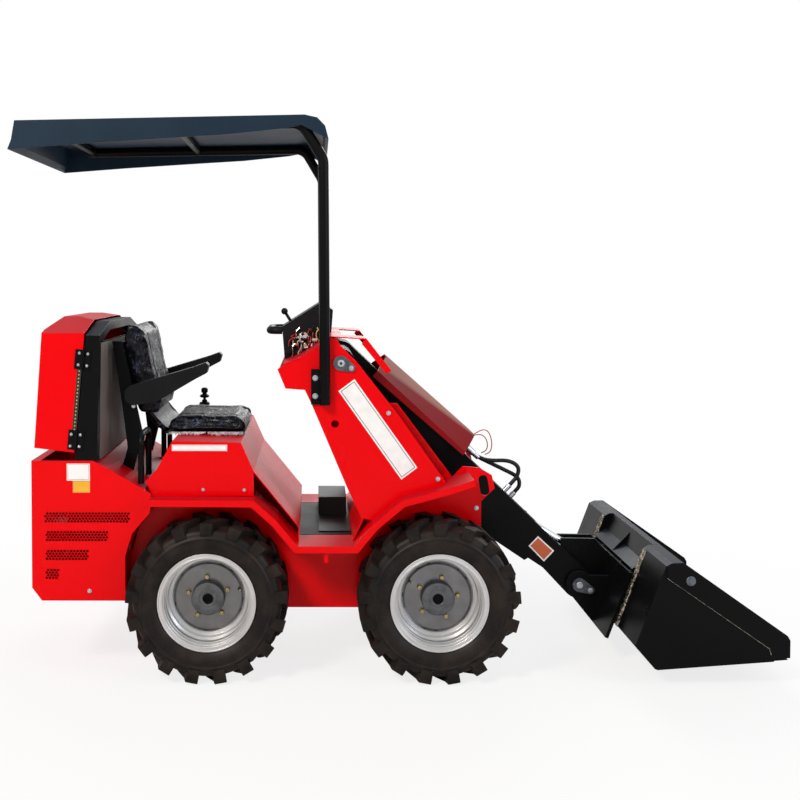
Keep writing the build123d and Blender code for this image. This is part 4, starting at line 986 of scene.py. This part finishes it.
def inDash(x, out, z):
    return spot(min(max(x, dashLoom["back"]), dashLoom["front"]), dashLoom["y"] - out, z)


dice = random.Random(dashLoom["seed"])
wireParts = []
for i in range(dashLoom["wires"]):
    x, z = dice.uniform(290, 385), dice.uniform(1180, 1245)
    stops = [inDash(x, -dashLoom["tuck"], z)]
    for j in range(dashLoom["bends"]):
        x += dice.uniform(-20, 20)
        z -= dice.uniform(2, 26)
        stops.append(inDash(x, dice.uniform(2, 16), z))
    stops.append(inDash(x, -dashLoom["tuck"], z - 12))
    wireParts.append(smoothTube("wire", stops, dice.uniform(1.3, 2.4), dice.choice(wireCovers)))
for i in range(dashLoom["plugs"]):
    x, z, turn = dice.uniform(292, 390), dice.uniform(1140, 1222), dice.uniform(0, pi)
    start = inDash(x, 8, z)
    end = start + Vector((cos(turn), 0, sin(turn))) * dice.uniform(12, 24) * mm
    wireParts.append(roundBar("plug", start, end, dice.uniform(4, 7), dice.choice(plugCovers), 8, 1.0))
place(joined("dashLoom", wireParts), "chassis")
print("hoses and wires run")

# ---- welds, plug discs and the punched edge of the hood

def weldRun():
    # overlapping ripples of weld along a line, each a little different
    tree, inputs = newTree("weldRun", [
        ("Radius", "Float"), ("Pitch", "Float"), ("Least", "Float"), ("Seed", "Int"), ("Metal", "Material")])
    line = fromNode(tree, "MeshToCurve", {"Mesh": inputs["Geometry"]})
    line = addNode(tree, "ResampleCurve", {"Curve": line, "Length": inputs["Pitch"]}, mode="LENGTH")
    ripple = fromNode(tree, "MeshIcoSphere", {"Radius": inputs["Radius"], "Subdivisions": 2})
    size = fromNode(tree, "FunctionNodeRandomValue", {"Seed": inputs["Seed"], 2: inputs["Least"], 3: 1.0},
                   data_type="FLOAT", output=1)
    turn = fromNode(tree, "FunctionNodeRandomValue", {"Seed": inputs["Seed"], 0: (0, 0, 0), 1: (6, 6, 6)},
                   data_type="FLOAT_VECTOR")
    bead = fromNode(tree, "InstanceOnPoints", {"Points": line.outputs[0], "Instance": ripple,
                                                          "Rotation": turn, "Scale": size})
    return endTree(tree, bead, inputs["Metal"])


weldTree = weldRun()


def weld(points, radius, least, seed):
    line = bpy.data.meshes.new("weld")
    line.from_pydata([tuple(p) for p in points], [(i, i + 1) for i in range(len(points) - 1)], [])
    return finished(runNodes(newObject("weld", line), weldTree, {
        "Radius": radius * mm, "Pitch": radius * 0.9 * mm, "Least": least, "Seed": seed, "Metal": flakedWeld}))


# the corner weld behind each side, its pale spots painted glints: lines of ripples down the sloping back of the
# bucket
cornerWeld = {"seed": 21, "lines": 4, "stops": 23, "top": 422, "drop": 12.6, "across": 277, "apart": 10, "wander": 6,
          "radius": 4.4, "least": 0.1, "backX": 1491.7, "backZ": 150, "slope": 0.374}
# the thin weld along the side's edge, and the plug disc on its face
sideEdge = {"y": 535.5, "stops": [(1600.7, 382.7), (1954.7, 138.7), (1961.7, 117.7)], "radius": 2.2, "least": 0.5}
plugDisc = {"x": 1679, "z": 375, "y": 539, "height": 3.5, "radius": 17}
bucketWelds = []
dice = random.Random(cornerWeld["seed"])
for side in (-1, 1):
    for column in range(cornerWeld["lines"]):
        ragged = []
        for k in range(cornerWeld["stops"]):
            z = cornerWeld["top"] - cornerWeld["drop"] * k
            y = cornerWeld["across"] + cornerWeld["apart"] * column + dice.uniform(-cornerWeld["wander"], cornerWeld["wander"])
            ragged.append(spot(cornerWeld["backX"] + (z - cornerWeld["backZ"]) * cornerWeld["slope"], side * y, z))
        bucketWelds.append(weld(ragged, cornerWeld["radius"], cornerWeld["least"], 3 + column + side))
    edge = [spot(x, side * sideEdge["y"], z) for x, z in sideEdge["stops"]]
    bucketWelds.append(weld(edge, sideEdge["radius"], sideEdge["least"], 9 + side))
    bucketWelds.append(pinHead("plugDisc", plugDisc["x"], plugDisc["z"], side, plugDisc["y"], plugDisc["height"],
                               plugDisc["radius"], lockZinc, 28))
place(joined("bucketWelds", bucketWelds), "tool")

# a near-black band painting the shade in the gap down the hood's hinge edge, with a row of bright dots on it
punching = {"back": -17, "width": 16, "low": 872, "high": 1100, "first": 882, "pitch": 13, "dots": 17, "radius": 2.8}


def hoodEdge(z):
    # how far forward the hood's front edge is at a height
    return -458.3 + 0.0899 * (z - 990)


band = [(hoodEdge(z) + punching["back"], z) for z in (punching["low"], punching["high"])]
band += [(x + punching["width"], z) for x, z in band[::-1]]
dots = [plateFrom("band", band, -420.05, 0.3, darkGap)]
for z in range(punching["first"], punching["first"] + punching["pitch"] * punching["dots"], punching["pitch"]):
    x = hoodEdge(z) + punching["back"] + punching["width"] / 2
    dots.append(roundBar("dot", spot(x, -419.8, z), spot(x, -420.9, z), punching["radius"], yellowWire, 8))
place(joined("hoodEdgePunching", dots), "hood_door")
print("welds and punchings made")

# ---- seat pads and their factory film

# rest is the face that stays put, lean the front's slope back, cap the most the foam swells
seatPads = {
    "seat_cushion": {"name": "seatCushion", "cap": 10, "lean": 0, "rest": (0, 0, -1)},
    "seat_back": {"name": "seatBack", "cap": 12, "lean": 26, "rest": (-1, 0, 0.16)}}
foam = {"inset": 9, "voxel": 6, "pressure": 4, "held": 10, "frames": 20}
filmWave = {"depth": 2.6, "span": 34, "stretch": 2.2}
channel = {"places": (-115, 115), "depth": 4.5, "width": 6}


def softened(node, settings):
    # the plain block drawn in a little and given an even skin
    low, high = boxOf(node)
    middle, half = (low + high) / 2, (high - low) / 2
    piece = newObject(settings["name"], nodes[node].data.copy())
    mesh = piece.data
    work = bmesh.new()
    work.from_mesh(mesh)
    bmesh.ops.remove_doubles(work, verts=work.verts, dist=1e-5)
    for vertex in work.verts:
        # the front leans back towards the top
        share = (vertex.co.z - low.z) / (high.z - low.z) * (vertex.co.x - low.x) / (high.x - low.x)
        vertex.co.x -= settings["lean"] * mm * share
        for axis in range(3):
            inset = 1 - foam["inset"] * mm / half[axis]
            vertex.co[axis] = middle[axis] + (vertex.co[axis] - middle[axis]) * inset
    work.to_mesh(mesh)
    work.free()
    mesh.materials.clear()
    mesh.materials.append(filmedVinyl)
    skin = piece.modifiers.new("skin", "REMESH")
    skin.mode = "VOXEL"
    skin.voxel_size = foam["voxel"] * mm
    return baked(piece)


def swell(piece, settings):
    # pressed out from inside by its foam while the face it rests on stays put
    rest = Vector(settings["rest"]).normalized()
    reach = [v.co.dot(rest) for v in piece.data.vertices]
    held = piece.vertex_groups.new(name="held")
    held.add([i for i, r in enumerate(reach) if r > max(reach) - foam["held"] * mm], 1.0, "REPLACE")
    cloth = piece.modifiers.new("swell", "CLOTH")
    cloth.settings.use_pressure = True
    cloth.settings.uniform_pressure_force = foam["pressure"]
    cloth.settings.effector_weights.gravity = 0
    cloth.settings.vertex_group_mass = "held"
    cloth.point_cache.frame_start, cloth.point_cache.frame_end = 1, foam["frames"]
    before = [v.co.copy() for v in piece.data.vertices]
    for step in range(1, foam["frames"] + 1):
        bpy.context.scene.frame_set(step)
    baked(piece)
    bpy.context.scene.frame_set(1)
    for vertex, start in zip(piece.data.vertices, before):
        move = vertex.co - start
        if move.length > settings["cap"] * mm:
            vertex.co = start + move.normalized() * settings["cap"] * mm


def creased(piece, settings):
    # sewn channels pressed in, and the film's folds over the whole cover
    rest = Vector(settings["rest"]).normalized()
    normals = [v.normal.copy() for v in piece.data.vertices]
    for vertex, normal in zip(piece.data.vertices, normals):
        sink = 0.0
        for line in channel["places"]:
            off = (vertex.co.y - line * mm) / (channel["width"] * mm)
            sink += channel["depth"] * exp(-off * off) * max(0.0, -normal.dot(rest))
        p = vertex.co / (filmWave["span"] * mm)
        crease = noise.noise(Vector((p.x, p.y / filmWave["stretch"], p.z))) + 0.5 * noise.noise(p * 2.3)
        free = 1.0 if normal.dot(rest) < 0.5 else 0.0
        vertex.co += normal * (filmWave["depth"] * crease * free - sink) * mm


def subdivided(piece, levels):
    finer = piece.modifiers.new("finer", "SUBSURF")
    finer.levels = finer.render_levels = levels
    return baked(piece)


for node, settings in seatPads.items():
    pad = softened(node, settings)
    swell(pad, settings)
    subdivided(pad, 1)
    creased(pad, settings)
    finished(pad)
    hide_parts(node)
    place(pad, "chassis")
    print("padded", settings["name"], len(pad.data.polygons), "faces")

# the cover carried on down behind the cushion, where back and seat join in one shell: forward, up
bend = [(-268, 1010), (-256, 965), (-244, 925), (-230, 890), (-208, 862), (-172, 850)]
shellFold = {"half": 205, "thick": 15, "ends": 0.55, "across": 12, "pinch": 0.35}
profile = [[], []]
for i, stop in enumerate(bend):
    before, after = bend[max(i - 1, 0)], bend[min(i + 1, len(bend) - 1)]
    along = (Vector(after) - Vector(before)).normalized()
    thick = shellFold["thick"] * (shellFold["ends"] if i in (0, len(bend) - 1) else 1.0)
    for row, o in zip(profile, (-1, 1)):
        row.append((Vector(stop), Vector((-along.y, along.x)) * thick * o))
loops = []
for column in range(shellFold["across"] + 1):
    share = 2 * column / shellFold["across"] - 1
    pinch = 1 - shellFold["pinch"] * abs(share) ** 6
    edges = [stop + out * pinch for stop, out in profile[0] + profile[1][::-1]]
    loops.append([spot(x, shellFold["half"] * share, z) for x, z in edges])
shell = finished(subdivided(loft("seatShellFold", [loops], filmedVinyl), 2))
place(shell, "chassis")

# grips and collars up the side lever: lowest, highest, radius
stick = (sum(boxOf("joystick"), Vector()) / 2 - Vector((rearAxle.x, 0, 0))) / mm
collars = [(838, 862, 24), (886, 900, 22), (919, 931, 20), (938, 959, 14)]
knobs = []
for low, high, radius in collars:
    foot, top = spot(stick.x, stick.y, low), spot(stick.x, stick.y, high)
    knobs.append(roundBar("collar", foot, top, radius, gripPlastic, 24, 4))
place(joined("leverCollars", knobs), "chassis")

# torn edge of the film hanging from the cushion's right side: where it starts, its folds and its drop
scraps = {"seed": 5, "pieces": 6, "thick": 0.4, "first": -168, "pitch": 48, "steps": 9, "rows": 3, "y": -231.5,
          "wave": 2.5, "flare": 1.5, "top": 848, "least": 4, "ragged": 13}
dice = random.Random(scraps["seed"])
scrapParts = []
for i in range(scraps["pieces"]):
    start = scraps["first"] + scraps["pitch"] * i + dice.uniform(-4, 4)
    length = dice.uniform(34, 52)
    front = []
    for row in range(scraps["rows"]):
        front.append([])
        for k in range(scraps["steps"] + 1):
            drop = row / (scraps["rows"] - 1) * (scraps["least"] + scraps["ragged"] * dice.random())
            y = scraps["y"] - scraps["wave"] * sin(k * 1.7 + i) - scraps["flare"] * row
            front[row].append(spot(start + length * k / scraps["steps"], y, scraps["top"] - drop))
    through = Vector((0, scraps["thick"] * mm, 0))
    loops = [[row[k] for row in front] + [row[k] + through for row in front[::-1]]
             for k in range(scraps["steps"] + 1)]
    scrap = loft("scrap", [loops], tornFilm)
    scrap.data.shade_smooth()
    scrapParts.append(scrap)
place(joined("filmScraps", scrapParts), "chassis")
print("seat covered")

for seed in (hexHead, wheelNut):
    bpy.data.objects.remove(seed)
